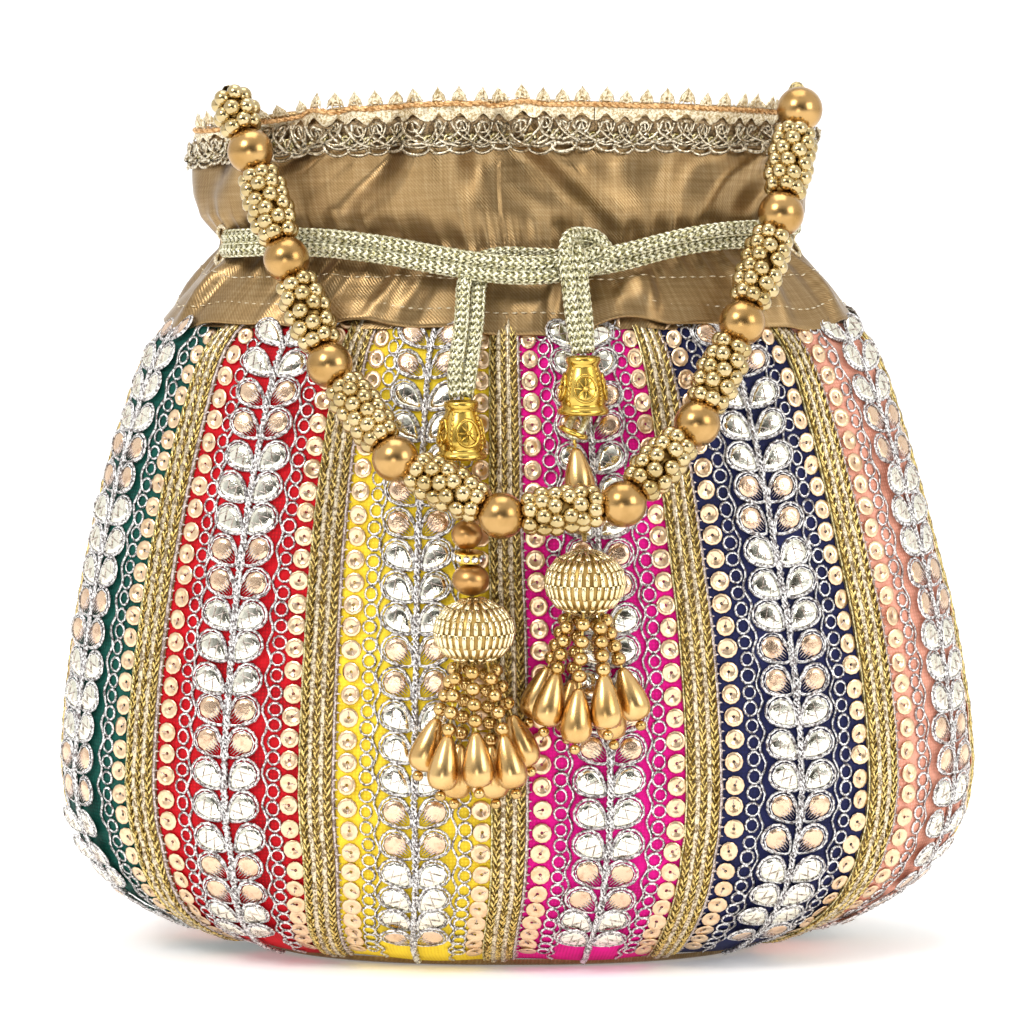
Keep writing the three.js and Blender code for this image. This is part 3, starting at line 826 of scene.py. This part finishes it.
def stems():
    """Three plies of silver cord twisted loosely up the middle of the leaves."""
    v = np.linspace(ROW_BASE, ROW_TOP, 140)
    parts = []
    for stripe in range(STRIPES):
        for ply in range(3):
            phase = TAU * (v * body_skin.height / 4.6 + ply / 3 + 0.08 * wobble(v, stripe * 3 + ply, 5, 4))
            reach = (0.78 + 0.25 * wobble(v, 300 + stripe * 3 + ply, 5, 6)) / UNIT
            p, n = couched(stripe + LAYOUT["stem"] + reach * np.cos(phase), v, 0.95)
            p = p + n * 0.35 * np.sin(phase)[:, None]
            parts.append((*cord_along(p, n, 0.98, 0.92, 3), SILVER_THREAD))
    piece("silver_stems", parts, "bag")


def braids():
    """Zari braid over each join: three chains of gold thread, two twisted beige cords between them,
    a thin cord along each edge and a picot of mauve silver outside one of them."""
    chain, cords = [], []
    v = rows_at(BRAID_PITCH, 0, ROW_BASE)
    template = grain(BRAID_PITCH * 1.6, 0.96, 0.95)
    middle, span = np.mean(LAYOUT["braid"]), np.ptp(LAYOUT["braid"]) * UNIT
    for offset in (-0.33, -0.02, 0.29):
        for lean in (-1, 1):
            u, vv = every_stripe([middle + (offset * span + lean * 0.5) / UNIT], v, 0.05,
                                 13 + int(offset * 9))
            p, t, w, n = body_skin.at(u, vv + (0.25 * lean * BRAID_PITCH / body_skin.height), 1.15)
            y = unit(w + t * lean * 0.42)
            x = unit(np.cross(y, n)) * body_skin.across(u, vv)[:, None]
            chain.append((*copies(template, p, x, y, n), GOLD_THREAD))
    steps = 150
    line = np.linspace(ROW_BASE, ROW_TOP, steps)
    for stripe in range(STRIPES):
        for offset in (-0.175, 0.135):
            p, n = couched(stripe + middle + offset * span / UNIT, line, 1.1)
            cords.append((*cord_along(p, n, 1.6, 1.3, 5, twist=(0.26, 0.37)), BRAID_PALE))
        for offset in (-0.47, 0.45):
            p, n = couched(stripe + middle + offset * span / UNIT, line, 0.7)
            cords.append((*cord_along(p, n, 1.05, 0.85, 3, twist=(0.2, 0.35)),
                          SILVER_SHADE if offset > 0 else PALE_GOLD_THREAD))
    picots = rows_at(PICOT_PITCH, 0, ROW_BASE)
    u, vv = every_stripe([middle + 0.49 * span / UNIT], picots, 0.08, 15)
    p, t, w, n = body_skin.at(u, vv, 0.6)
    cords.append((*copies(grain(1.9, 0.95, 0.65, 3), p, w, t, n), SILVER_SHADE))
    # ground strip under each braid, darkened as painted shade between the columns
    base = []
    for stripe in range(STRIPES):
        edge = [couched(stripe + middle + k * span / UNIT, line, h)[0]
                for k, h in ((-0.5, 0.1), (-0.46, 0.75), (0, 0.95), (0.46, 0.75), (0.5, 0.1))]
        points = np.stack(edge, 1).reshape(-1, 3)
        base.append((points, grid_faces(steps, 5, False), BRAID_GROUND_PAINTED_SHADE))
    piece("braid_chains", chain, "bag")
    piece("braid_cords", base + cords, "bag")


def base_and_lining():
    """Oval satin base over the pressed board, and the satin lining inside."""
    half_x, half_y = (np.array(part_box("base_panel")[1]) / MM)[:2] + [2, 0]
    sides = 96
    angle = np.arange(sides) / sides * TAU
    e = 2 / SQUARE
    cx = np.sign(np.cos(angle)) * np.abs(np.cos(angle)) ** e
    cy = np.sign(np.sin(angle)) * np.abs(np.sin(angle)) ** e
    rings = [(1.07, 2.2), (1.06, 1.0), (1.02, 0.25), (0.98, 0.0), (0.5, 0.0), (0.02, 0.0)]
    points = np.concatenate([np.stack([cx * half_x * k - 2, cy * half_y * k, np.full(sides, h)], 1)
                             for k, h in rings])
    faces = grid_faces(len(rings), sides)[:, ::-1]
    piece("satin_base", [(points, faces, COLLAR_SATIN)], "bag", ["base_panel"])
    inner = Skin(BODY, 44, 180, swell=lambda turn, z: -3.1 + 0.5 * wobble(turn, 51, 4, 5) * (z > 8))
    points, faces, _, uv = inner.sheet(LINING_SATIN)
    rows, columns = inner.grid.shape[:2]
    # the lining's floor lies on the board
    floor = inner.grid[0] * [1, 1, 0] + [0, 0, 6.6]
    points[:columns] = floor
    centre = np.concatenate([floor * [k, k, 1] for k in (0.5, 0.02)])
    points = np.concatenate([points, centre])
    uv = np.concatenate([uv, centre[:, :2] * MM])
    rim = np.arange(columns)
    after = (rim + 1) % columns
    disc = [np.stack([a + after, a + rim, b + rim, b + after], 1)
            for a, b in ((0, rows * columns), (rows * columns, (rows + 1) * columns))]
    faces = np.concatenate([faces[:, ::-1], *disc])
    made = piece("satin_lining", [(points, faces, LINING_SATIN, uv)], "bag", ["lining"])
    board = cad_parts["base_board"].data
    board.materials.clear()
    board.materials.append(BOARD)


# ---------------------------------------------------------------- collar and lace
RIM_SHARE = collar_skin.share(228.8)


def seam_wave(turn):
    """Rise and fall, in mm, of the collar's hem over the body cloth."""
    return 3.1 * wobble(turn, 61, 4, 5) + 0.3


def collar():
    """Satin collar, two layers folded over at the rim, its lower edge turned over the body cloth."""
    count = int(RIM_SHARE * (len(collar_skin.grid) - 1)) + 1
    outer = collar_skin.grid[:count].copy()
    hem_rows = 14
    outer[:hem_rows, :, 2] += seam_wave(collar_skin.turn)[None] * np.linspace(1, 0, hem_rows)[:, None]
    inside = (collar_skin.grid[:count] - collar_skin.n[:count] * 1.5)[::3]
    hem = outer[0] - collar_skin.n[0] * 1.0
    rim = outer[-1] - collar_skin.n[count - 1] * 0.75 + [0, 0, 0.5]
    rows = np.concatenate([hem[None], outer[:1] - collar_skin.n[:1] * 0.25 - [0, 0, 0.4], outer, rim[None],
                           inside[::-1]])
    u = np.broadcast_to(collar_skin.turn[None] * 520 * MM, rows.shape[:2])
    v = np.broadcast_to(np.concatenate([[0, 0], np.linspace(0, 66, len(outer)), [66.5],
                                        np.linspace(67, 133, len(inside))])[:, None] * MM, rows.shape[:2])
    faces = grid_faces(*rows.shape[:2])
    made = piece("satin_collar", [(rows, faces, COLLAR_SATIN, np.stack([u, v], 2).reshape(-1, 2))],
                 "bag", ["collar"])
    stitches()


def stitches():
    """Running stitches that close the drawcord's channel, top stitches along the seam, and the
    eyelets of the drawcord."""
    parts = []
    for level, pitch, length, seed in ((182.6, 3.2, 2.1, 1), (174.8, 2.6, 1.7, 2)):
        count = int(470 / pitch)
        turn = (np.arange(count) + 0.5) / count
        sway = 0.5 * wobble(turn, 70 + seed, 4, 3)
        z = level + sway + (seam_wave(turn) * 0.75 if seed == 2 else 0)
        p, t, w, n = collar_skin.at(turn * STRIPES, collar_skin.share(z), 0.12)
        parts.append((*copies(grain(length, 0.5, 0.45, 4), p, w, t, n), LACE_TAPE))
    # worked eyelets round the two slits that let the drawcord out
    rows, columns = collar_skin.grid.shape[:2]
    turn = np.arange(30) / 30 * TAU
    for place in ((-76.4, -11, 190.4), (72.6, -9.4, 192.6)):
        nearest = np.argmin(np.linalg.norm(collar_skin.grid - place, axis=2))
        row, column = np.unravel_index(nearest, (rows, columns))
        u = column / columns * STRIPES + 3.0 * np.cos(turn) / (UNIT * collar_skin.step[row, column])
        v = row / (rows - 1) + 5.2 * np.sin(turn) / collar_skin.height
        p, _, _, n = collar_skin.at(u, v, 0.5)
        parts.append((*cord_along(p, n, 1.3, 1.1, 6, True, twist=(0.22, 0.3)), LACE_TAPE))
    piece("collar_stitches", parts, "bag")


def lace():
    """Gimp lace sewn round the rim: tufted picots on an orange-gold cord, a woven tape cut into
    arches, a thread ring under each arch, crossing scrolls, and a scalloped cord along the bottom."""
    count, deep = 74, 13.4  # repeats round the rim, and from the lower edge to the rim
    repeat = STRIPES / count
    u = np.arange(count) * repeat
    tall = collar_skin.height
    jitter = np.random.default_rng(33).normal(0, 1, (2, count)) * [[0.05], [0.28]]

    def place(x, y, lift=1.0):
        """Points of one repeat, x in repeats and y in mm above the lower edge, on every repeat."""
        x = np.asarray(x, float) + jitter[0][:, None]
        y = np.asarray(y, float) + jitter[1][:, None]
        share = RIM_SHARE - (deep - y) / tall
        return collar_skin.at(u[:, None] + x * repeat, share, lift)

    parts = []
    t = np.linspace(0, TAU, 13)
    p, _, _, n = place(0.25 * np.cos(t[:-1]), 6.9 + 1.35 * np.sin(t[:-1]), 1.5)
    parts.append((*cord_along(p, n, 0.9, 0.85, 3, True), LACE_THREAD))
    # diagonal scrolls, leaning both ways, each with a curl at its foot
    for lean, lift, aside in ((1, 1.5, 0), (-1, 2.2, 0), (1, 2.0, 0.5), (-1, 1.4, 0.4)):
        s = np.linspace(0, 1, 13)
        x = lean * (-0.62 + 1.02 * s) + 0.22 * np.sin(s * math.pi) * lean + aside
        y = 2.3 + 5.6 * s ** 1.4
        p, _, _, n = place(x, y, lift)
        parts.append((*cord_along(p, n, 1.0, 0.9, 3), LACE_THREAD))
    curl = np.linspace(0, 1.6 * TAU, 16)
    size = 1.5 - 0.13 * curl
    p, _, _, n = place(0.5 + size * 0.155 * np.cos(curl), 3.6 + size * 0.95 * np.sin(curl), 1.6)
    parts.append((*cord_along(p, n, 0.85, 0.8, 3), PALE_GOLD_THREAD))
    arc = np.linspace(0, math.pi, 12)
    for wide, low, base in ((0.56, 2.0, 1.9), (0.5, 1.2, 2.9)):
        p, _, _, n = place(-wide * np.cos(arc), base - low * np.sin(arc), 1.3)
        parts.append((*cord_along(p, n, 1.0, 0.9, 3), LACE_THREAD))
    # brown band behind the scrolls: painted shade, where the satin lies in the cords' shadow
    columns = 480
    around = np.arange(columns) / columns * STRIPES
    shade_band = np.stack([collar_skin.at(around, np.full(columns, RIM_SHARE - (deep - y) / tall), lift)[0]
                    for y, lift in ((1.6, 0.1), (2.0, 0.7), (8.6, 0.8), (9.2, 0.2))])
    parts.append((shade_band, grid_faces(4, columns), LACE_PAINTED_SHADE))
    # tape with arched lower edge
    x = np.linspace(-0.54, 0.54, 9)
    arch = 8.3 + 1.9 * np.cos(x * math.pi) ** 2 * np.abs(np.cos(x * math.pi))
    strips = [place(x, arch + k * (12.2 - arch), 1.15 + 0.25 * math.sin(k * math.pi))[0]
              for k in (0.0, 0.33, 0.67, 1.0)]
    tape = np.stack(strips, 1)
    faces = grid_faces(4, len(x), False)
    shift = np.arange(count)[:, None, None] * 4 * len(x)
    parts.append((tape.reshape(-1, 3), (faces[None] + shift).reshape(-1, 4), LACE_TAPE))
    # orange-gold cord in two plies
    s = np.arange(count * 8) / (count * 8) * STRIPES
    for ply in (0, math.pi):
        phase = s / repeat * TAU * 1.5 + ply
        share = RIM_SHARE - (0.9 + 0.35 * np.sin(phase)) / tall
        p, _, _, n = collar_skin.at(s, share, 1.5 + 0.3 * np.cos(phase))
        parts.append((*cord_along(p, n, 1.0, 0.95, 4, True), ORANGE_THREAD))
    # picots: each a small fan of stitches that meets in a point
    template = grain(1.0, 1.25, 1.1, 4)
    tops, foots = [], []
    for x0, x1, y0, y1 in ((-0.38, -0.04, 12.7, 16.6), (0.38, 0.04, 12.7, 16.6), (-0.2, 0.0, 12.5, 17.0),
                           (0.2, 0.0, 12.5, 17.0), (-0.36, 0.36, 13.6, 13.8), (-0.22, 0.22, 14.7, 14.9)):
        ends = []
        for x, y in ((x0, y0), (x1, y1)):
            p, _, w, _ = place([x], [min(y, 13.2)], 1.1)
            ends.append(p[:, 0] + w[:, 0] * max(0.0, y - 13.2))
        foots.append(ends[0])
        tops.append(ends[1])
    foot, top = np.concatenate(foots), np.concatenate(tops)
    n = np.tile(place([0], [13], 1.1)[3][:, 0], (6, 1))
    y = (top - foot) * 1.1
    x = unit(np.cross(y, n))
    parts.append((*copies(template, (foot + top) / 2, x, y, n), LACE_TAPE))
    piece("gimp_lace", parts, "bag", ["lace_trim"])


# ---------------------------------------------------------------- caps, tassels, handle
def frame_towards(way):
    """Three axes whose third runs along `way`."""
    z = unit(np.array(way, float))
    x = unit(np.cross([0, 1, 0.01], z))
    return x, np.cross(z, x), z


def set_at(part, place, way=(0, 0, 1)):
    """One copy of a part that stands at a place along `way`."""
    x, y, z = frame_towards(way)
    return copies(part, [place], x, y, z)


def cap(side):
    """Bell cap cast in zinc and plated bright: rolled lip, wheel medallions with eight spokes
    between beaded ribs, and a flange below."""
    place = CAPS[side]
    profile = [(0.1, 0), (6.3, 0), (6.7, 0.4), (6.7, 1.2), (6.35, 1.7), (5.75, 2.2), (5.7, 2.8),
               (5.95, 3.6), (5.95, 5), (5.7, 6.8), (5.25, 8.8), (4.7, 10.6), (4.1, 12), (3.95, 12.6),
               (4.3, 13.1), (4.5, 13.8), (4.4, 14.6), (4.1, 14.9), (3.6, 14.7), (3.4, 13.6), (0.1, 13.4)]
    parts = [(*set_at(turned(profile, 40), place), CAP_GOLD)]
    spin = 0.35 if side == "left" else 0.1
    for quarter in range(4):
        a = quarter * TAU / 4 + spin - math.pi / 2
        out = np.array([math.cos(a), math.sin(a), 0])
        x = np.array([-math.sin(a), math.cos(a), 0])
        up = np.array([0, 0, 1.0])

        def wrapped(points):
            """Lays flat medallion points on the bell."""
            level = points[:, 1] * 0.92 + 7.0
            radius = np.interp(level, [3.6, 5, 6.8, 8.8, 10.6, 12], [5.95, 5.95, 5.7, 5.25, 4.7, 4.1])
            bend = points[:, 0] / 5.6
            reach = radius + points[:, 2] - 0.1
            return (np.array(place) + np.outer(np.cos(bend) * reach, out)
                    + np.outer(np.sin(bend) * reach, x) + np.outer(level, up))
        rim, faces = hoop(2.95, 0.4, 24, 6, 1.25)
        parts.append((wrapped(rim + [0, 0, 0.25]), faces, CAP_GOLD))
        hub, faces = globe(0.75, 0.5, 10, 6)
        parts.append((wrapped(hub + [0, 0, 0.35]), faces, CAP_GOLD))
        for k in range(8):
            b = k * TAU / 8
            spoke, faces = grain(2.5, 0.55, 0.7, 5)
            c, s = math.cos(b), math.sin(b)
            across, along = spoke[:, 0], spoke[:, 1] + 1.6
            spoke = np.stack([across * c - along * s, (across * s + along * c) * 1.2, spoke[:, 2] + 0.3], 1)
            parts.append((wrapped(spoke), faces, CAP_GOLD))
        b = a + TAU / 8
        rib = [np.array(place) + np.array([math.cos(b), math.sin(b), 0])
               * np.interp(z, [3, 5, 7, 9, 12], [5.9, 5.95, 5.65, 5.2, 4.1]) + [0, 0, z]
               for z in np.linspace(3, 11.8, 8)]
        parts.append((*copies(globe(0.5, 0.62, 8, 6), rib, [1, 0, 0], [0, 1, 0], [0, 0, 1]), CAP_GOLD))
    return piece(f"bell_cap_{side}", parts, "bag", [f"cord_cap_{side}"])


def drilled(radius, half, sides=32, rows=18, hole=0.09):
    """Round bead with its thread hole dimpled in at both ends."""
    t = np.linspace(0, math.pi, rows)
    r = np.maximum(radius * np.sin(t), radius * hole)
    h = -half * np.cos(t)
    r[0] = r[-1] = 0.01
    h[0], h[-1] = -half * 0.86, half * 0.86
    return turned(np.stack([r, h], 1), sides)


def bugle_ball(name, node, body):
    """Round core covered with rows of bugle beads laid like bricks, with a row of seed beads at
    both poles."""
    low, high = (np.array(c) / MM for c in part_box(node))
    centre, half = (low + high) / 2, (high - low) / 2
    radius, tall = half[0] - 0.5, half[2] - 0.4
    parts = [(*set_at(globe(radius - 0.1, tall - 0.1, 30, 18), centre), BUGLE_CORE)]
    rows = 6
    rng = np.random.default_rng(17)
    tube = turned([(0.3, -0.5), (0.5, -0.47), (0.5, 0.47), (0.3, 0.5)], 8)
    for row in range(rows):
        lat = (row - (rows - 1) / 2) * math.radians(24.5)
        around = max(9, int(TAU * radius * math.cos(lat) / 1.9))
        a = (np.arange(around) + 0.5 * (row % 2)) / around * TAU
        flat = np.stack([np.cos(a), np.sin(a), np.zeros(around)], 1)
        out = flat * math.cos(lat) + [0, 0, math.sin(lat)]
        along = flat * -math.sin(lat) + [0, 0, math.cos(lat)]
        place = centre + out * [radius, radius, tall]
        along = unit(along + np.cross(along, out) * rng.normal(0, 0.03, (around, 1)))
        side = np.cross(along, out)
        wide = TAU * radius * math.cos(lat) / around * 0.66
        long = rng.uniform(3.2, 3.8, (around, 1))
        parts.append((*copies(tube, place, side * wide, out * 1.1, along * long), BUGLE))
    for pole in (-1, 1):
        a = np.arange(9) / 9 * TAU
        ring = centre + np.stack([2.6 * np.cos(a), 2.6 * np.sin(a), np.full(9, pole * (tall - 0.25))], 1)
        parts.append((*copies(globe(0.85, 0.75, 10, 7), ring, [1, 0, 0], [0, 1, 0], [0, 0, 1]), SEED_GOLD))
    return piece(name, parts, body, [node])


# Half outline of a pearl drop, from its neck down
DROP_SHAPE = [(0.6, 0), (1.05, 0.2), (1.5, 0.9), (2.05, 2.1), (2.75, 3.9), (3.4, 6.0), (3.88, 8.2),
              (4.08, 10.0), (3.92, 11.6), (3.35, 12.9), (2.4, 13.7), (1.2, 14.0), (0.01, 13.95)]


def strand(side, number, top, foot):
    """Beads on one thread: a run of small round beads, a pearl drop and a smaller end bead. The
    runs of neighbouring strands start half a bead apart."""
    way = foot - top
    length = np.linalg.norm(way)
    way = way / length
    drop_at = length - 17.2  # room for the drop and the end bead
    thread = turned([(0.01, 0), (0.35, 0.1), (0.35, length), (0.01, length)], 6)
    parts = [(*set_at(thread, top - way * 1.5, way), GOLD_THREAD)]
    seeds = max(3, round(drop_at / 3.9))
    step = drop_at / seeds
    seed = drilled(1.95, 1.85, 14, 9, 0.2)
    stagger = 0.3 if number % 2 else 0.68
    for k in range(seeds):
        parts.append((*set_at(seed, top + way * step * (k + stagger), way), TASSEL_GOLD))
    parts.append((*set_at(turned(DROP_SHAPE, 20), top + way * drop_at, way), DROP_GOLD))
    end = drilled(1.45, 1.4, 12, 8, 0.2)
    parts.append((*set_at(end, top + way * (drop_at + 15.5), way), TASSEL_GOLD))
    return piece(f"bead_strand_{side}_{number}", parts, f"{side}_tassel",
                 [f"strand_{side}_{number}"])


# Where the strands leave each ball, and how far out and how low each one ends
FEET = {
    "left": ((-10.9, -70.4, 85.6), [(-15, 0.5, 55.5), (-8.8, -7, 51.5), (1.4, -9, 52.5),
                                    (11, -6.6, 52), (15, 1.4, 56.5), (5.6, 4.6, 47.5),
                                    (-5.4, 4.6, 47.5)]),
    "right": ((17.3, -68.4, 97.8), [(-14.9, 2.8, 68.5), (-10.9, -6.3, 67.5), (-2.8, -9.4, 63.5),
                                    (5.8, -8.6, 67), (14.8, -1.6, 68.5), (7.8, 4.4, 62.5),
                                    (-4.6, 4.2, 64)]),
}


def fan(side):
    """Strands that leave the ball on a small ring under it and spread to their feet."""
    (x, y, z), feet = FEET[side]
    ring, facing = 5, -0.78  # radius, and the angle of the middle strand
    for number, (dx, dy, foot) in enumerate(feet, 1):
        a = facing + (number - 4) * TAU / len(feet)
        strand(side, number, np.array([x + ring * math.cos(a), y + ring * math.sin(a), z]),
               np.array([x + dx, y + dy, foot]))


def left_links():
    """Thread, two darker beads and the rhinestone ring between the left cap and its bugle ball."""
    run = np.linspace((-14.2, -60.2, 136.2), (-12.8, -64, 118), 6)
    thread = cord_along(run, [0, -1, 0], 1.1, 1.1, 6, twist=(0.2, 0.4))
    upper = set_at(drilled(4, 3.8), (-12.8, -64, 118.4), (0.08, -0.2, 1))
    rod = turned([(0.01, -17), (0.55, -17), (0.55, 0), (0.01, 0)], 8)
    rod = set_at(rod, (-12.8, -64, 118), (-0.08, 0.13, 1))
    piece("left_bead_upper", [(*thread, GOLD_THREAD), (*upper, ANTIQUE_GOLD), (*rod, GOLD_THREAD)],
          "left_tassel", ["left_ball_upper"])
    lower = set_at(drilled(4.8, 4.1), (-11.8, -66.2, 107.1), (0.05, -0.1, 1))
    piece("left_bead_lower", [(*lower, ANTIQUE_GOLD)], "left_tassel",
          ["left_ball_lower"])
    centre, way = np.array((-12.3, -65.2, 112.9)), (0.05, -0.1, 1)
    band = turned([(0.4, -1.4), (3.3, -1.4), (3.8, -1.15), (3.7, 0), (3.8, 1.15), (3.3, 1.4),
                   (0.4, 1.4)], 28)
    parts = [(*set_at(band, centre, way), RING_GOLD)]
    x, y, z = frame_towards(way)
    stone = turned([(0.05, -0.2), (1.0, -0.1), (1.0, 0.25), (0.6, 0.62), (0.05, 0.66)], 8)
    for k in range(11):
        a = k / 11 * TAU
        out = x * math.cos(a) + y * math.sin(a)
        stone_at = centre + out * 3.7
        parts.append((*copies(stone, [stone_at], np.cross(z, out) * 0.95, z * 1.05, out), CRYSTAL))
    piece("left_rhinestone_ring", parts, "left_tassel", ["left_crystal_ring"],
          smooth=False)


def right_links():
    """Plated ring on the right cap, a drop on a hook through it, and the thread to the ball."""
    low, high = (np.array(c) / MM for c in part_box("right_jump_ring"))
    ring = hoop(3.3, 0.75, 28, 10)
    x = unit(np.array([math.cos(0.4), 0, -math.sin(0.4)]))
    placed = copies(ring, [(low + high) / 2], x, [0, 1, 0], np.cross(x, [0, 1, 0]))
    knot = cord_along(smooth_path([(15.2, -56.6, 149), (13.6, -58.6, 146.8), (13, -60.6, 144.6),
                                   (14.6, -61.6, 143.2), (16.6, -60.2, 145), (17.8, -57.6, 148.4)], 30),
                      [0, -1, 0], 1.9, 1.9, 8, twist=(0.15, 0.3))
    piece("right_ring", [(*placed, RING_GOLD), (*knot, ZARI)], "bag",
          ["right_jump_ring"])
    top, foot = np.array((15.0, -60.9, 140.2)), np.array((16.5, -62.2, 126.6))
    drop = set_at(turned(DROP_SHAPE, 24), top, foot - top)
    hook = cord_along(smooth_path([(14.9, -60.9, 140.6), (14.5, -61.3, 142.2), (14.2, -60.6, 143.1),
                                   (14.4, -59.2, 142.9), (15, -59.6, 141)], 20), [1, 0, 0], 0.8, 0.8, 6)
    line = cord_along(np.linspace(foot, (17.2, -66.2, 117), 8), [0, -1, 0], 1.3, 1.3, 6,
                      twist=(0.2, 0.4))
    piece("right_pearl_drop", [(*drop, DROP_GOLD), (*hook, RING_GOLD), (*line, GOLD_THREAD)],
          "right_tassel", ["right_drop_bead"])


def woven_cluster(number, start, end, node):
    """Small beads woven round the handle rope: staggered rings of seven."""
    way = end - start
    length = np.linalg.norm(way)
    way = way / length
    x, y, z = frame_towards(way)
    radius, rows = 4.4, max(3, round((length - 3.0) / 3.6) + 1)
    rng = np.random.default_rng(90 + number)
    places = []
    for row in range(rows):
        share = row / (rows - 1)
        pinch = 1 - 0.2 * abs(2 * share - 1) ** 5
        a = (np.arange(7) + 0.5 * (row % 2)) / 7 * TAU + number * 0.7 + rng.normal(0, 0.08, 7)
        along = 1.6 + share * (length - 3.2) + rng.normal(0, 0.25, 7)
        out = np.outer(np.cos(a), x) + np.outer(np.sin(a), y)
        places.append(start + out * radius * pinch + np.outer(along, z))
    places = np.concatenate(places)
    beads = copies(globe(2.2, 2.2, 13, 8), places, x, y, z)
    core = turned([(0.01, 0.2), (3.1, 0.2), (3.1, length - 0.2), (0.01, length - 0.2)], 10)
    piece(f"woven_beads_{number}", [(*beads, SEED_GOLD), (*set_at(core, start, way), BUGLE_CORE)],
          "handle", [node])


def handle():
    """Ten big beads and the woven clusters between them, on one rope sewn inside the rim."""
    for number, centre in enumerate(BALLS, 1):
        before = BALLS[number - 2] if number > 1 else np.array(PIVOTS[0])
        after = BALLS[number] if number < 10 else np.array(PIVOTS[1])
        ball = set_at(drilled(6.0, 5.95, 32, 18, 0.14), centre, after - before)
        piece(f"big_bead_{number}", [(*ball, BALL_GOLD)], "handle",
              [f"handle_ball_{number}"])
    for number, (a, b) in enumerate(zip(BALLS, BALLS[1:]), 1):
        way = unit(b - a)
        woven_cluster(number, a + way * 5.6, b - way * 5.6, f"handle_cluster_{number}")
    way = unit(BALLS[0] - PIVOTS[0])
    woven_cluster(10, np.array(PIVOTS[0]) + way * 1.0, BALLS[0] - way * 5.6, "handle_cluster_top")
    loops = {"left": [PIVOTS[0], (-75, -25, 230), (-75, -18.6, 227), (-74.6, -17.4, 220), (-74, -17.4, 212)],
             "right": [PIVOTS[1], (74, -15.5, 231.6), (73.2, -11, 230.5), (72, -8.6, 223), (71.6, -8, 212)]}
    for side, route in loops.items():
        path = smooth_path(route, 48)
        rope = cord_along(path, [0.2, 0.2, 1], 2.9, 2.9, 10, twist=(0.14, 0.12))
        piece(f"rope_loop_{side}", [(*rope, GOLD_THREAD)], "bag",
              [f"handle_loop_{side}"])


# ---------------------------------------------------------------- making
caps = {side: cap(side) for side in ("left", "right")}
drawcord("left", LEFT_ROUTE, ["drawcord_left", "drawcord_knot", "drawcord_tail_right"])
drawcord("right", RIGHT_ROUTE, ["drawcord_right", "drawcord_tail_left"])
cloth()
base_and_lining()
collar()
lace()
braids()
sequins()
thread_rings()
wavy_lines()
leaves()
stems()
for side in ("left", "right"):
    bugle_ball(f"bugle_ball_{side}", f"{side}_bugle_ball", f"{side}_tassel")
fan("left")
fan("right")
left_links()
right_links()
handle()


# ---------------------------------------------------------------- studio
def studio():
    """Pale seamless floor, a soft key from the upper left, a broad fill and a bright pale world."""
    floor = bpy.data.meshes.new("floor")
    reach, rise = 4.0, 2.6
    profile = [(-reach, 0.0)] + [(1.2 + math.sin(t) * 0.9, 0.9 - math.cos(t) * 0.9)
                                 for t in np.linspace(0, math.pi / 2, 12)] + [(2.1, rise)]
    verts = [(x, y, z) for y, z in profile for x in (-reach, reach)]
    floor.from_pydata(verts, [], [(2 * i, 2 * i + 1, 2 * i + 3, 2 * i + 2) for i in range(len(profile) - 1)])
    ground = bpy.data.objects.new("floor", floor)
    bpy.context.scene.collection.objects.link(ground)
    material, tree, shader = finish("paper_white", Roughness=0.9, Emission_Color=(1, 1, 1, 1),
                                    Emission_Strength=0.22)
    fibre = add(tree, "TexNoise", Scale=3.0)
    coloured(tree, shader, fibre.outputs["Fac"], (0.3, "#FAFAFA"), (0.7, "#FDFDFD"))
    floor.materials.append(material)
    for polygon in floor.polygons:
        polygon.use_smooth = True
    world = bpy.data.worlds.new("studio")
    bpy.context.scene.world = world
    world.use_nodes = True
    # a white room with a dark wall behind the viewer's place, so that metal shows light and dark
    tree = world.node_tree
    way = add(tree, "SeparateXYZ", Vector=add(tree, "TexCoord").outputs["Generated"])
    front = add(tree, "MapRange", Value=way.outputs["Y"], From_Min=-0.95, From_Max=-0.45)
    height = add(tree, "MapRange", Value=way.outputs["Z"], From_Min=0.35, From_Max=0.75)
    open_sky = add(tree, "Math", {"operation": "MAXIMUM"}, _0=front.outputs["Result"],
                   _1=height.outputs["Result"])
    walls = shades(tree, open_sky.outputs[0], (0.0, "#3A3834"), (0.5, "#C8C8C8"), (1.0, "#FFFFFF"))
    background = tree.nodes["Background"]
    tree.links.new(walls, background.inputs["Color"])
    background.inputs["Strength"].default_value = 1.02
    for name, place, size, power in (
            ("key", (-0.75, -1.0, 1.1), 0.55, 11), ("fill", (1.0, -0.85, 0.6), 0.6, 5),
            ("top", (0, 0.1, 1.5), 0.9, 7), ("low", (-0.2, -1.4, 0.12), 0.35, 1.6)):
        light = bpy.data.lights.new(name, "AREA")
        light.energy, light.size = power, size
        lamp = bpy.data.objects.new(name, light)
        bpy.context.scene.collection.objects.link(lamp)
        lamp.location = place
        aim = np.array([0, 0, 0.12]) - place
        lamp.rotation_euler = [math.atan2(math.hypot(aim[0], aim[1]), -aim[2]), 0,
                               math.atan2(aim[1], aim[0]) - math.pi / 2]
    bpy.context.scene.view_settings.view_transform = "Standard"


studio()
